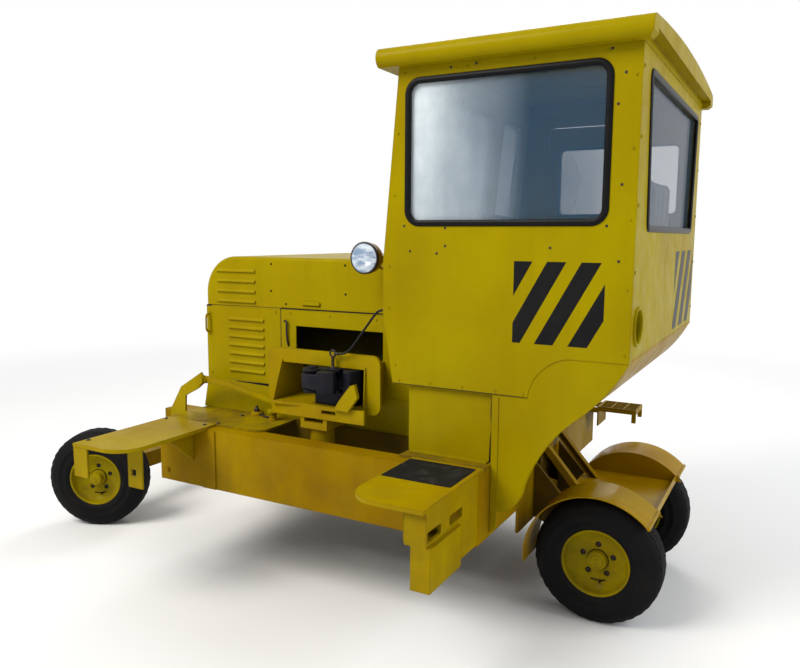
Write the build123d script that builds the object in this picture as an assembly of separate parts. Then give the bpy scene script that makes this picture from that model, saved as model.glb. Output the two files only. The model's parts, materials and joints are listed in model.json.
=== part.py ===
"""Road-rail shunting vehicle: a low coupler frame that runs along Y on rails, carried
along X on four road wheels, with a hood over its engine and a tall glazed cab.

Millimetres. X runs along the road, towards the cab. Y runs along the rails. Z is up,
with the ground at zero and the couplers on the plane X = 0.
"""
from math import asin, cos, degrees, radians, sin, sqrt, tan
import os

from build123d import *

# Coupler frame
FRAME_X = 827.0
BEAM_Y = 864.0
FRAME_LOW = 430.0
FRAME_TOP = 712.0
BEAM_WEB = 12.0
BEAM_FLANGE = 92.0
FLANGE_T = 14.0
END_PLATE = 12.0
DECK_T = 10.0
DECK_TOP = FRAME_TOP + DECK_T
DECK_GAP_LEFT = -255.0
INNER_RAIL_X = 600.0
INNER_RAIL_T = 20.0
INNER_FLANGE = 90.0
STRAP_LEFT = -556.0
STRAP_W = 80.0
STRAP_T = 6.0

# Side steps
STEP_REACH = 1318.0
HOOD_STEP_REACH = 1348.0
STEP_LAP = 60.0
STEP_LIP = 16.0
STEP_CORNER = 120.0
STEP_CAB_INNER = 515.0
STEP_HOOD_INNER = -525.0
STEP_PLATE_T = 10.0
STEP_SLOTS = (-1237.0, -1060.0)
STEP_SLOT_LONG = 108.0
STEP_SLOT_HIGH = 36.0
STEP_SLOT_Z = 620.0
TAG_TOP = 586.0
LEG_LOW = 540.0
LEG_W = 84.0
LEG_T = 8.0

# Rail wheels
GAUGE = 1435.0
RAIL_BASE = 420.0
RAIL_AXLE_Z = 572.0
TREAD_R = 114.0
TREAD_W = 80.0
RAIL_FLANGE_R = 132.0
RAIL_FLANGE_W = 30.0
RAIL_HUB_R = 70.0
RAIL_AXLE_R = 45.0
AXLE_BOX_R = 78.0
AXLE_BOX_LONG = 60.0
SHAFT_GAP = 0.05

# Road wheels
TYRE_R = 265.0
TYRE_W = 160.0
RIM_R = 137.0
RIM_FLANGE = 143.0
RIM_T = 6.0
RIM_DISC = 24.0
HUB_R = 42.0
HUB_OUT = 22.0
HUB_IN = 44.0
STUB_R = 26.0
LUG_CIRCLE = 66.0
LUG_HOLE_R = 9.5
LUG_COUNT = 5
WHEEL_GAP = 8.0
WHEEL_SIDES = 48
HUB_SIDES = 24

# Cab-end axle
DRIVE_X = 1171.0
DRIVE_Y = 350.0
AXLE_TUBE_R = 48.0
AXLE_BOWL_R = 95.0
FENDER_R = 297.0
FENDER_T = 5.0
FENDER_INNER = 258.0
FENDER_OUTER = 470.0
FENDER_START = 187.0
FENDER_END = 44.0
FENDER_DECK_Z = 452.0
FENDER_DECK_LEFT = 960.0
FENDER_DECK_RIGHT = 1377.0
FENDER_BEAD_R = 7.0
BRACE_Y = 140.0
BRACE_W = 34.0
RECESS = ((-185, 529), (-121, 612), (153, 541), (280, 349))
DROP_HALF = 400.0
DROP_LOW = 318.0
RECESS_DEPTH = 60.0
PIVOT_Y = -45.0
PIVOT_Z = 548.0

# Hood-end axle
KING_X = -1567.0
KING_Y = 566.0
KING_R = 20.0
KING_BARREL_R = 36.0
KING_OFFSET = 100.0
KING_REACH = 100.0
PARKED_STEER = 26.0
AXLE_BEAM = 90.0
YOKE_T = 28.0
YOKE_GAP = 6.0
SPINE_HALF = 70.0

# Hood
HOOD_LEFT = -811.0
HOOD_HALF = 540.0
HOOD_TOP = 1497.0
HOOD_SEAM = 1250.0
HOOD_BASE = 880.0
HOOD_CORNER = 185.0
HOOD_EDGE = 16.0
HOOD_T = 6.0
SKIRT_FLARE = 32.0
SIDE_PANEL_RIGHT = -342.0
OPENING_LEFT = -251.0
OPENING_RIGHT = 226.0
OPENING_LOW = 940.0
OPENING_TOP = 1176.0
LOUVER_RISE = 9.0
GRILLE_HALF = 380.0
GRILLE_LOW = 930.0
GRILLE_TOP = 1200.0
GRILLE_BARS = 9
GRILLE_BAR = 11.0

# Cab
CAB_HALF = 744.0
CAB_END = 1336.0
CAB_LOW = 1000.0
CAB_SHOULDER = 1160.0
CAB_EAVE = 2246.0
CAB_WALL = 30.0
CAB_KINK_LOW = 1290.0
CAB_KINK_TOP = 1496.0
CAB_FRONT_TOP = 412.0
CAB_FRONT_MID = 343.0
CAB_FRONT_LOW = 389.0
FLOOR_T = 12.0
LOWER_PANEL_LEFT = 456.0
LOWER_PANEL_RIGHT = FRAME_X
LOWER_PANEL_Y = 722.0
PANEL_T = 12.0
ROOF_SIDE = 46.0
ROOF_BULGE = 22.0
ROOF_RISE = 72.0
ROOF_CROWN = 38.0
ROOF_END_RISE = 34.0
ROOF_FRONT = 67.0
ROOF_BACK = 42.0
GLASS_T = 6.0
SHOULDER_RISE = CAB_SHOULDER - CAB_LOW
SHOULDER = ((968.0, CAB_LOW), (1018.0, CAB_LOW + 0.675 * SHOULDER_RISE), (1115.0, CAB_SHOULDER))
ARCH_FOOT = ((880.0, 536.0), (943.0, 592.0), (962.0, 650.0))
ARCH_RISE = ((962.0, 650.0), (1030.0, 795.0), (1142.0, 928.0))
ARCH_HEEL = ((1142.0, 928.0), (1250.0, 1030.0), (CAB_END, CAB_SHOULDER))
FLOOR_CURVE = ((1222.0, CAB_LOW), (1284.0, CAB_LOW + 0.45 * SHOULDER_RISE), (CAB_END, CAB_SHOULDER))
FLOOR_CURVE_TOP = (
    (1204.0, CAB_LOW + FLOOR_T), (1268.0, CAB_LOW + FLOOR_T + 0.45 * SHOULDER_RISE),
    (1318.0, CAB_SHOULDER + FLOOR_T))
FIT_GAP = 0.3

# Cab openings
WINDOW_SIDE = (452.0, 1232.0, 1650.0, CAB_EAVE - 50)
WINDOW_FAR = (1070.0, 1250.0, 1714.0, CAB_EAVE - 161)
WINDOW_DOOR = (610.0, 950.0, 1714.0, CAB_EAVE - 161)
WINDOW_CORNER = 52.0
WINDOW_SMALL_CORNER = 36.0
DOOR = (560.0, 1010.0, 1018.0, CAB_EAVE - 56)
DOOR_CORNER = 30.0
DOOR_GAP = 6.0
HINGE_R = 9.0
HINGE_X = 1013.0
HINGE_Y = CAB_HALF + HINGE_R + 2
HINGE_LONG = 90.0
HINGE_LOW = (CAB_SHOULDER + 40, CAB_EAVE - 286)
HINGE_PIN_R = 5.0
HINGE_LUG = 30.0
WINDOW_END_TOP = 600.0
WINDOW_END_LOW = 550.0
WINDOW_END_Z = (1632.0, CAB_EAVE - 66)
PORT_Y = -642.0
PORT_Z = CAB_SHOULDER + 124
PORT_R = 62.0
SHIELD = ((-620.0, 235.0), (345.0, 640.0))
SHIELD_Z = (1640.0, CAB_EAVE - 56)

# Cab fittings
SEAT_X = 950.0
SEAT_LONG = 340.0
SEAT_HALF = 220.0
SEAT_Z = 1420.0
SEAT_PAD = 90.0
SEAT_BACK = 430.0
COLUMN_X = 529.0
COLUMN_Y = -60.0
COLUMN_LEAN = 15.0
COLUMN_LONG = 640.0
COLUMN_R = 24.0
COLUMN_PIN_R = 12.0
COLUMN_PIN = 33.0
WHEEL_RING_R = 190.0
WHEEL_RING_T = 13.0

# Couplers
ARCH_LEFT = -291.0
ARCH_RIGHT = 305.0
ARCH_LOW = 838.0
ARCH_TOP = 1096.0
ARCH_CORNER = 40.0
ARCH_Y = 700.0
ARCH_T = 14.0
BOX_LEFT = -213.0
BOX_RIGHT = 235.0
BOX_Y = 762.0
BOX_LEFT_Y = 778.0
BOX_RIGHT_Y = 716.0
CHEEK_T = 6.0
BOX_FLOOR = 868.0
BOX_TOP = 1032.0
BOX_T = 14.0
APRON_LOW = 806.0
HEAD_TOP = 1030.0
EAR_LOW = 924.0
EAR_T = 15.0
PIN_X = -5.0
PIN_Y = 752.0
PIN_R = 16.0
EAR_R = 44.0
KNUCKLE_GAP = 5.0
LIFTER_X = 80.0
LIFTER_Y = -722.0
LIFTER_TOP = 1082.0
EYE_R = 14.0
CLAMP_LONG = 12.0
JACK_Y = -688.0
JACK_FOOT = 90.0
JACK_R = 54.0
JACK_CAP = 70.0
JACK_CAP_LOW = 756.0
JACK_CAP_TOP = 786.0
JACK_EAR_TOP = 804.0
RAM_R = 30.0

# Lever and its bracket
LEVER_Y = -634.0
LEVER_T = 10.0
LEVER_BOSS = (-765.0, 880.0)

# Headlamp and far step
LAMP_X = 225.0
LAMP_Z = 1509.0
LAMP_R = 66.0
LAMP_FACE = 700.0
LAMP_LONG = 62.0
STEP_FAR = (896.0, 1096.0, 646.0)
STEP_FAR_Y = 692.0
STEP_FAR_LONG = 180.0
STEP_FAR_BARS = 9

# Uncoupling cable, as (x, y, z) points chosen by hand along its hang
CABLE_R = 5.0
CABLE_POINTS = [
    (106, -722, 1096), (134, -722, 1096), (167, -723, 1117), (198, -724, 1152), (227, -725, 1192),
    (257, -726, 1229), (287, -727, 1268), (316, -729, 1298), (343, -729, 1298)]


def block(x0, x1, y0, y1, z0, z1):
    """A rectangular block between opposite corners."""
    size = Box(x1 - x0, y1 - y0, z1 - z0)
    return Pos((x0 + x1) / 2, (y0 + y1) / 2, (z0 + z1) / 2) * size


def outline(points):
    """A closed flat face through the points."""
    return make_face(Polyline(*points, close=True))


def sheet_xz(face, y0, y1):
    """Extrude a face drawn as (x, z) from y0 to y1."""
    plane = Plane(origin=(0, y1, 0), x_dir=(1, 0, 0), z_dir=(0, -1, 0))
    return extrude(plane * face, amount=y1 - y0)


def sheet_yz(face, x0, x1):
    """Extrude a face drawn as (y, z) from x0 to x1."""
    plane = Plane(origin=(x0, 0, 0), x_dir=(0, 1, 0), z_dir=(1, 0, 0))
    return extrude(plane * face, amount=x1 - x0)


def sheet_xy(face, z0, z1):
    """Extrude a face drawn as (x, y) from z0 to z1."""
    return extrude(Plane.XY.offset(z0) * face, amount=z1 - z0)


def rod_x(x0, x1, y, z, radius):
    """A round bar along X."""
    return Pos((x0 + x1) / 2, y, z) * Rot(0, 90, 0) * Cylinder(radius, x1 - x0)


def rod_y(y0, y1, x, z, radius):
    """A round bar along Y."""
    return Pos(x, (y0 + y1) / 2, z) * Rot(90, 0, 0) * Cylinder(radius, y1 - y0)


def rod_z(z0, z1, x, y, radius):
    """A round bar along Z."""
    return Pos(x, y, (z0 + z1) / 2) * Cylinder(radius, z1 - z0)


def rounded(x0, x1, z0, z1, radius, inset=0.0):
    """A rounded rectangle face between opposite corners."""
    face = RectangleRounded(x1 - x0 - 2 * inset, z1 - z0 - 2 * inset, radius - inset)
    return Pos((x0 + x1) / 2, (z0 + z1) / 2) * face


def faceted(profile, sides):
    """Turn a closed outline of (radius, height) points about Z, in flat facets."""
    grow = 1 / cos(radians(180 / sides))
    turns = [radians((index + 0.5) * 360 / sides) for index in range(sides)]
    rings = [[Vector(grow * radius * cos(a), grow * radius * sin(a), height) for a in turns]
             for radius, height in profile]
    faces = []
    for one, other in zip(rings, rings[1:] + rings[:1]):
        if abs(one[0].Z - other[0].Z) < 1e-6:
            outer, inner = sorted((one, other), key=lambda ring: -ring[0].length)
            hollow = abs(inner[0].X) > 1e-6
            faces.append(Face(Wire.make_polygon(outer), [Wire.make_polygon(inner)] if hollow else []))
        elif abs(one[0].X) + abs(other[0].X) > 1e-6:
            for a, b, c, d in zip(one, one[1:] + one[:1], other[1:] + other[:1], other):
                faces.append(Face(Wire.make_polygon([a, b, c, d])))
    return Solid(Shell(faces))


def far(shape):
    """The mirror image of a near-side piece, on the far side."""
    return mirror(shape, about=Plane.XZ)


def turned(shape):
    """A near-side piece turned half round, onto the far side."""
    return Rot(0, 0, 180) * shape


def both(shape):
    """A near-side piece and its mirror image, as solids of one node."""
    return Compound([*shape.solids(), *far(shape).solids()])


def gather(*shapes):
    """Several separate pieces, as solids of one node."""
    return Compound([solid for shape in shapes for solid in shape.solids()])


# Coupler frame

def coupler_beam():
    """Near beam across the frame: a channel with its flanges turned inwards."""
    inner = FRAME_X - END_PLATE
    profile = outline([
        (-BEAM_Y, FRAME_LOW), (-BEAM_Y + BEAM_FLANGE, FRAME_LOW),
        (-BEAM_Y + BEAM_FLANGE, FRAME_LOW + FLANGE_T), (-BEAM_Y + BEAM_WEB, FRAME_LOW + FLANGE_T),
        (-BEAM_Y + BEAM_WEB, FRAME_TOP - FLANGE_T), (-BEAM_Y + BEAM_FLANGE, FRAME_TOP - FLANGE_T),
        (-BEAM_Y + BEAM_FLANGE, FRAME_TOP), (-BEAM_Y, FRAME_TOP)])
    beam = sheet_yz(profile, -inner, inner)
    strap_top = DECK_TOP - STEP_LIP
    strap = block(STRAP_LEFT, STRAP_LEFT + STRAP_W, -BEAM_Y - STRAP_T, -BEAM_Y, FRAME_LOW, strap_top)
    return beam + strap


def end_plate(x0):
    """Plate that closes the frame at one end of the road direction."""
    return block(x0, x0 + END_PLATE, -BEAM_Y, BEAM_Y, FRAME_LOW, FRAME_TOP)


def cab_end_plate():
    """Cab-end frame plate: deeper in its middle, with an opening over the axle's pivot."""
    x0 = FRAME_X - END_PLATE
    plate = end_plate(x0) + block(x0, FRAME_X, -DROP_HALF, DROP_HALF, DROP_LOW, FRAME_LOW)
    hole = fillet(outline(RECESS).vertices(), 24)
    return plate - sheet_yz(hole, x0 - 1, FRAME_X + 1)


def pivot_box():
    """Closed box behind the cab-end plate's opening, with the round end of the axle's pivot."""
    front = FRAME_X - END_PLATE
    back = front - RECESS_DEPTH
    y0, y1, z0, z1 = -210, 282, DROP_LOW + 6, 640
    box = block(back, front, y0, y1, z0, z1) - block(back + 8, front, y0 + 8, y1 - 8, z0 + 8, z1 - 8)
    box += rod_x(back, front - 12, PIVOT_Y, PIVOT_Z, 46)
    return box + rod_x(front - 12, front - 2, PIVOT_Y, PIVOT_Z, 22)


def cross_web():
    """Near web between the inner frame plates, under the hood's side."""
    reach = INNER_RAIL_X - INNER_RAIL_T / 2
    y0, y1 = -HOOD_HALF - HOOD_T, -HOOD_HALF + HOOD_T
    web = block(-reach, reach, y0, y1, FRAME_LOW, FRAME_TOP)
    web -= block(-reach, -INNER_RAIL_X + INNER_FLANGE / 2, y0, y1, FRAME_LOW, FRAME_LOW + FLANGE_T)
    web -= block(INNER_RAIL_X - INNER_FLANGE / 2, reach, y0, y1, FRAME_LOW, FRAME_LOW + FLANGE_T)
    web -= block(-reach, -INNER_RAIL_X + INNER_FLANGE / 2, y0, y1, FRAME_TOP - FLANGE_T, FRAME_TOP)
    web -= block(INNER_RAIL_X - INNER_FLANGE / 2, reach, y0, y1, FRAME_TOP - FLANGE_T, FRAME_TOP)
    web += block(DECK_GAP_LEFT, LOWER_PANEL_LEFT, y0, y1, FRAME_TOP, DECK_TOP)
    return web - rod_x(-reach, reach, -RAIL_BASE, RAIL_AXLE_Z, AXLE_BOX_R + KNUCKLE_GAP)


def inner_rail(x):
    """Inner frame plate that carries the engine and the rail axles."""
    reach = BEAM_Y - BEAM_FLANGE
    half = INNER_RAIL_T / 2
    rail = block(x - half, x + half, -reach, reach, FRAME_LOW, FRAME_TOP)
    for z0 in (FRAME_LOW, FRAME_TOP - FLANGE_T):
        rail += block(x - INNER_FLANGE / 2, x + INNER_FLANGE / 2, -reach, reach, z0, z0 + FLANGE_T)
    for y in (-RAIL_BASE, RAIL_BASE):
        rail -= rod_x(x - INNER_FLANGE, x + INNER_FLANGE, y, RAIL_AXLE_Z, AXLE_BOX_R)
    return rail


def axle_box(x, y):
    """Bearing housing of a rail axle, seated in the inner frame plate."""
    x0, x1 = x - AXLE_BOX_LONG / 2, x + AXLE_BOX_LONG / 2
    body = rod_x(x0, x1, y, RAIL_AXLE_Z, AXLE_BOX_R)
    return body - rod_x(x0, x1, y, RAIL_AXLE_Z, RAIL_AXLE_R + SHAFT_GAP)


def rail_axle(y):
    """A rail axle with both flanged wheels, turning as one body."""
    inner = GAUGE / 2 - RAIL_FLANGE_W
    tip = GAUGE / 2 + TREAD_W
    wheel = faceted([
        (0, inner), (RAIL_FLANGE_R, inner), (RAIL_FLANGE_R, inner + RAIL_FLANGE_W * 0.6),
        (TREAD_R + 3, GAUGE / 2), (TREAD_R, tip), (RAIL_HUB_R, tip - 22), (0, tip - 22)], WHEEL_SIDES)
    axle = Cylinder(RAIL_AXLE_R, 2 * inner + RAIL_FLANGE_W) + wheel + mirror(wheel, about=Plane.XY)
    return Pos(0, y, RAIL_AXLE_Z) * Rot(0, 90, 0) * axle


# Steps and deck

def step_outline(x0, x1, corner_x, reach, inset):
    """Step plate face, its outer corner at corner_x rounded."""
    lo, hi = x0 + inset, x1 - inset
    front, back = -reach + inset, -BEAM_Y + STEP_LAP
    plate = outline([(lo, front), (hi, front), (hi, back), (lo, back)])
    picked = [v for v in plate.vertices() if abs(v.X - corner_x) < 2 * DECK_T and v.Y < front + 1]
    return fillet(picked, STEP_CORNER - inset)


def step_plate(x0, x1, corner_x, reach):
    """Near step plate with a lip turned down round its free edges."""
    lip_low = DECK_TOP - STEP_LIP
    top = sheet_xy(step_outline(x0, x1, corner_x, reach, 0), FRAME_TOP, DECK_TOP)
    lip = sheet_xy(step_outline(x0, x1, corner_x, reach, 0), lip_low, FRAME_TOP)
    lip -= sheet_xy(step_outline(x0, x1, corner_x, reach, STEP_PLATE_T), lip_low, FRAME_TOP)
    lip -= block(x0 - 1, x1 + 1, -BEAM_Y, 0, lip_low, FRAME_TOP)
    return top + lip


def cab_step():
    """Near cab-end step: plate, slotted side plate with its inner web, bracket and tag box."""
    front = -STEP_REACH + 22
    low = FRAME_LOW + 10
    step = step_plate(STEP_CAB_INNER, FRAME_X, STEP_CAB_INNER, STEP_REACH)
    side = block(FRAME_X - END_PLATE, FRAME_X, front, -BEAM_Y, low, FRAME_TOP)
    for y in STEP_SLOTS:
        slot = Pos(y, STEP_SLOT_Z) * RectangleRounded(STEP_SLOT_LONG, STEP_SLOT_HIGH, 9)
        side -= sheet_yz(slot, FRAME_X - END_PLATE - 1, FRAME_X + 1)
    bracket = block(FRAME_X - 82, FRAME_X, front, front + STEP_PLATE_T, TAG_TOP, FRAME_TOP)
    tag = block(FRAME_X - 58, FRAME_X + 15, front, front + 250, low - 8, TAG_TOP)
    web = block(FRAME_X - 96, FRAME_X - 90, front + 20, -BEAM_Y, TAG_TOP, FRAME_TOP)
    return step + side + bracket + tag + web


def far_cab_step():
    """Far cab-end step: a plain plate with a shallow side plate."""
    step = step_plate(STEP_CAB_INNER, FRAME_X, STEP_CAB_INNER, STEP_REACH)
    front = -STEP_REACH + 22
    return far(step + block(FRAME_X - END_PLATE, FRAME_X, front, -BEAM_Y, FRAME_TOP - 60, FRAME_TOP))


def hood_step():
    """Hood-end step: plate on two hanging legs, with a gusset back to the beam."""
    front = -HOOD_STEP_REACH + STEP_PLATE_T
    step = step_plate(-FRAME_X, STEP_HOOD_INNER, STEP_HOOD_INNER, HOOD_STEP_REACH)
    leg = block(-FRAME_X, -FRAME_X + LEG_W, front - LEG_T, front, LEG_LOW + 38, FRAME_TOP)
    leg += block(-FRAME_X, -FRAME_X + LEG_T, front, front + 60, LEG_LOW + 38, FRAME_TOP)
    x0, y0 = STEP_HOOD_INNER - 97, front + 98
    second = block(x0, x0 + LEG_W, y0, y0 + LEG_T, LEG_LOW - 7, FRAME_TOP)
    second -= block(x0 + 20, x0 + 48, y0, y0 + LEG_T, LEG_LOW + 45, LEG_LOW + 73)
    gusset = outline([(-BEAM_Y, FRAME_LOW + 120), (-BEAM_Y, FRAME_TOP), (-BEAM_Y - 190, FRAME_TOP)])
    return step + leg + second + sheet_yz(gusset, x0, x0 + STEP_PLATE_T)


def deck_plates():
    """Walkway plates over the near half of the frame, either side of the coupler."""
    front, back = -BEAM_Y + STEP_LAP, -HOOD_HALF + HOOD_T
    left = outline([(-FRAME_X, front), (DECK_GAP_LEFT, front), (DECK_GAP_LEFT, back), (-FRAME_X, back)])
    left = fillet([v for v in left.vertices() if v.X > -300 and v.Y < front + 1], STEP_CORNER / 2)
    x0 = LOWER_PANEL_LEFT
    right = outline([(x0, front), (FRAME_X, front), (FRAME_X, back), (x0, back)])
    return gather(sheet_xy(left, FRAME_TOP, DECK_TOP), sheet_xy(right, FRAME_TOP, DECK_TOP))


# Road wheels

def tyre_solid():
    """A road tyre about the origin, rolling about Y."""
    half = TYRE_W / 2
    bead = half - 12
    side = [(RIM_R, bead), (RIM_FLANGE + 2, bead), (178, half - 1), (214, half), (TYRE_R - 15, half - 15),
            (TYRE_R - 4, half - 30), (TYRE_R, half - 48)]
    section = side + [(radius, -y) for radius, y in reversed(side)]
    return Rot(-90, 0, 0) * faceted(section, WHEEL_SIDES)


def rim_solid():
    """A dished disc wheel about the origin, its outer face towards -Y."""
    bead = TYRE_W / 2 - 12
    lip = bead + RIM_T
    disc = -RIM_DISC
    barrel = RIM_R - RIM_T
    nose = disc - HUB_OUT
    rim = faceted([
        (RIM_R, -bead), (RIM_FLANGE, -bead), (RIM_FLANGE, -lip), (barrel, -lip), (barrel - 8, disc - 12),
        (barrel - 30, disc), (0, disc), (0, disc + 8), (barrel, disc + 8), (barrel, lip),
        (RIM_FLANGE, lip), (RIM_FLANGE, bead), (RIM_R, bead)], WHEEL_SIDES)
    rim += faceted([(0, nose), (HUB_R - 6, nose), (HUB_R, disc), (HUB_R + 8, disc + 8),
                    (HUB_R + 8, HUB_IN), (0, HUB_IN)], HUB_SIDES)
    rim -= Pos(0, 0, (disc + 2 + HUB_IN) / 2) * Cylinder(STUB_R + SHAFT_GAP, HUB_IN - disc - 2)
    for index in range(LUG_COUNT):
        angle = radians(90 + index * 360 / LUG_COUNT)
        hole = extrude(RegularPolygon(LUG_HOLE_R, 14), amount=2 * RIM_DISC)
        rim -= Pos(LUG_CIRCLE * cos(angle), LUG_CIRCLE * sin(angle), disc - RIM_DISC) * hole
    return Rot(-90, 0, 0) * rim


def at_drive(shape, side):
    """Place a wheel piece drawn about the origin on the cab-end axle."""
    placed = shape if side < 0 else far(shape)
    return Pos(DRIVE_X, side * DRIVE_Y, TYRE_R) * placed


def at_king(shape, side):
    """Turn a piece about a kingpin to the parked steering angle."""
    y = side * KING_Y
    return Pos(KING_X, y, 0) * Rot(0, 0, PARKED_STEER) * Pos(-KING_X, -y, 0) * shape


def at_steered(shape, side):
    """Place a wheel piece drawn about the origin on a steering knuckle."""
    placed = shape if side < 0 else far(shape)
    straight = Pos(KING_X, side * (KING_Y + KING_OFFSET), TYRE_R) * placed
    return at_king(straight, side)


def span(side, near, distant):
    """Y limits of a piece from two distances off the middle, on either side."""
    return sorted((side * near, side * distant))


# Cab-end axle and mudguards

def drive_axle():
    """Cab-end axle tube with its stubs and the arms that carry it on the frame."""
    end = DRIVE_Y - TYRE_W / 2 - WHEEL_GAP
    axle = rod_y(-end, end, DRIVE_X, TYRE_R, AXLE_TUBE_R)
    bowl = outline([(AXLE_TUBE_R - 4, -110), (AXLE_BOWL_R, -50), (AXLE_BOWL_R, 50), (AXLE_TUBE_R - 4, 110)])
    axle += Pos(DRIVE_X, 0, TYRE_R) * revolve(bowl, axis=Axis.Y)
    for side in (-1, 1):
        y0, y1 = span(side, end - 10, DRIVE_Y + RIM_DISC - 6)
        axle += rod_y(y0, y1, DRIVE_X, TYRE_R, STUB_R)
        arm = outline([
            (FRAME_X, DROP_LOW + 12), (FRAME_X, FRAME_LOW + 160), (FENDER_DECK_LEFT, FENDER_DECK_Z - FENDER_T),
            (DRIVE_X + 70, FENDER_DECK_Z - FENDER_T), (DRIVE_X + 70, TYRE_R - 30), (DRIVE_X - 70, TYRE_R - 30)])
        y0, y1 = span(side, end - 82, end - 62)
        axle += sheet_xz(arm, y0, y1)
    return axle


def arc_points(radius, angles):
    """Points on a circle about the cab-end axle, in X and Z."""
    return [(DRIVE_X + radius * cos(radians(a)), TYRE_R + radius * sin(radians(a))) for a in angles]


def fender(side):
    """One mudguard: a half-round shell with its inner wall."""
    sweep = (FENDER_START, (FENDER_START + FENDER_END) / 2, FENDER_END)
    out = arc_points(FENDER_R, sweep)
    inn = arc_points(FENDER_R - FENDER_T, sweep)
    shell = make_face([ThreePointArc(*out), Line(out[2], inn[2]), ThreePointArc(*reversed(inn)),
                       Line(inn[0], out[0])])
    y0, y1 = span(side, FENDER_INNER, FENDER_OUTER)
    low = degrees(asin((FENDER_DECK_Z - TYRE_R) / FENDER_R))
    rim = arc_points(FENDER_R, (180 - low, 90, low))
    wall = make_face([ThreePointArc(*rim), Line(rim[2], rim[0])])
    w0, w1 = span(side, FENDER_INNER - FENDER_T, FENDER_INNER)
    bead_x, bead_z = arc_points(FENDER_R, [FENDER_END])[0]
    return sheet_xz(shell, y0, y1) + sheet_xz(wall, w0, w1) + rod_y(y0, y1, bead_x, bead_z, FENDER_BEAD_R)


def fenders():
    """Both mudguards joined by the deck between them."""
    low = FENDER_DECK_Z - FENDER_T
    deck = block(FENDER_DECK_LEFT, FENDER_DECK_RIGHT, -FENDER_INNER, FENDER_INNER, low, FENDER_DECK_Z)
    lip_x = FENDER_DECK_RIGHT - FENDER_T
    lip = block(lip_x, FENDER_DECK_RIGHT, -FENDER_INNER, FENDER_INNER, low, FENDER_DECK_Z + 26)
    return fender(-1) + fender(1) + deck + lip


def braces():
    """Two sloping channel struts from the frame end to the mudguard deck."""
    line = [(FRAME_X, 700), (FRAME_X, 655), (1000, FENDER_DECK_Z), (1042, FENDER_DECK_Z)]
    inside = [(FRAME_X, 692), (FRAME_X, 665), (1007, FENDER_DECK_Z), (1035, FENDER_DECK_Z)]
    strut = sheet_xz(outline(line), BRACE_Y - BRACE_W, BRACE_Y)
    strut -= sheet_xz(outline(inside), BRACE_Y - BRACE_W, BRACE_Y - 5)
    return both(strut)


# Hood-end axle and steering

def steering_axle():
    """Hood-end axle beam, its kingpin yokes and the carriage that joins it to the frame."""
    low, high = TYRE_R - AXLE_BEAM / 2, TYRE_R + AXLE_BEAM / 2
    end = KING_Y - KING_REACH
    axle = block(KING_X - 40, KING_X + 40, -end, end, low, high)
    bottom, top = low - YOKE_GAP - YOKE_T, high + YOKE_GAP + YOKE_T
    for side in (-1, 1):
        y0, y1 = span(side, end - 40, end)
        axle += block(KING_X - 30, KING_X + 30, y0, y1, bottom, top)
        y0, y1 = span(side, end - 40, KING_Y + 30)
        axle += block(KING_X - 30, KING_X + 30, y0, y1, bottom, bottom + YOKE_T)
        axle += block(KING_X - 30, KING_X + 30, y0, y1, top - YOKE_T, top)
        axle += rod_z(bottom, top, KING_X, side * KING_Y, KING_R)
    axle += block(KING_X - 60, KING_X + 60, -90, 90, high, FRAME_LOW)
    axle += block(KING_X - 60, -FRAME_X, -SPINE_HALF, SPINE_HALF, FRAME_LOW, FRAME_LOW + 90)
    wings = outline([(-FRAME_X, -420), (-FRAME_X, 420), (-1220, SPINE_HALF), (-1220, -SPINE_HALF)])
    return axle + sheet_xy(wings, FRAME_LOW + 30, FRAME_LOW + 42)


def knuckle(side):
    """Steering knuckle: a barrel on its kingpin, a stub shaft and a steering arm."""
    low, high = TYRE_R - AXLE_BEAM / 2, TYRE_R + AXLE_BEAM / 2
    y = side * KING_Y
    body = rod_z(low, high, KING_X, y, KING_BARREL_R)
    y0, y1 = span(side, KING_Y, KING_Y + KING_OFFSET - TYRE_W / 2 - WHEEL_GAP + KING_BARREL_R)
    body += rod_y(y0, y1, KING_X, TYRE_R, KING_BARREL_R - 4)
    y0, y1 = span(side, KING_Y, KING_Y + KING_OFFSET + RIM_DISC - 6)
    body += rod_y(y0, y1, KING_X, TYRE_R, STUB_R)
    y0, y1 = span(side, KING_Y - 26, KING_Y - 2)
    body += block(KING_X, KING_X + 150, y0, y1, TYRE_R - 12, TYRE_R + 12)
    body -= rod_z(low, high, KING_X, y, KING_R + SHAFT_GAP)
    return at_king(body, side)


# Hood

def hood_profile(inset):
    """Hood cover outline in X and Z, rounded at its free end."""
    lo, hi = HOOD_LEFT + inset, CAB_FRONT_MID
    top = HOOD_TOP - inset
    radius = HOOD_CORNER - inset
    cut = radius * (1 - sqrt(0.5))
    return make_face([
        Line((lo, HOOD_SEAM), (lo, top - radius)),
        ThreePointArc((lo, top - radius), (lo + cut, top - cut), (lo + radius, top)),
        Line((lo + radius, top), (hi, top)), Line((hi, top), (hi, HOOD_SEAM)),
        Line((hi, HOOD_SEAM), (lo, HOOD_SEAM))])


def louvers(x0, x1, tops):
    """Pressed louvers that stand out of a near side panel, one under each top."""
    y = -HOOD_HALF
    ridges = []
    for z in tops:
        face = outline([(y + 1, z + 3), (y - LOUVER_RISE, z - 10), (y - LOUVER_RISE, z - 13), (y + 1, z - 13)])
        ridges.append(sheet_yz(face, x0, x1))
    return ridges


def hood_cover():
    """Upper hood: top, both sides and rounded end, open below."""
    cover = sheet_xz(hood_profile(0), -HOOD_HALF, HOOD_HALF)
    edges = [e for e in cover.edges().filter_by(Axis.X) if e.center().Z > HOOD_TOP - 1]
    cover = fillet(edges, HOOD_EDGE)
    cover -= sheet_xz(hood_profile(HOOD_T), -HOOD_HALF + HOOD_T, HOOD_HALF - HOOD_T)
    for ridge in louvers(-736, -493, [1435 - 50 * i for i in range(4)]):
        cover += ridge
        cover += far(ridge)
    return cover


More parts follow.
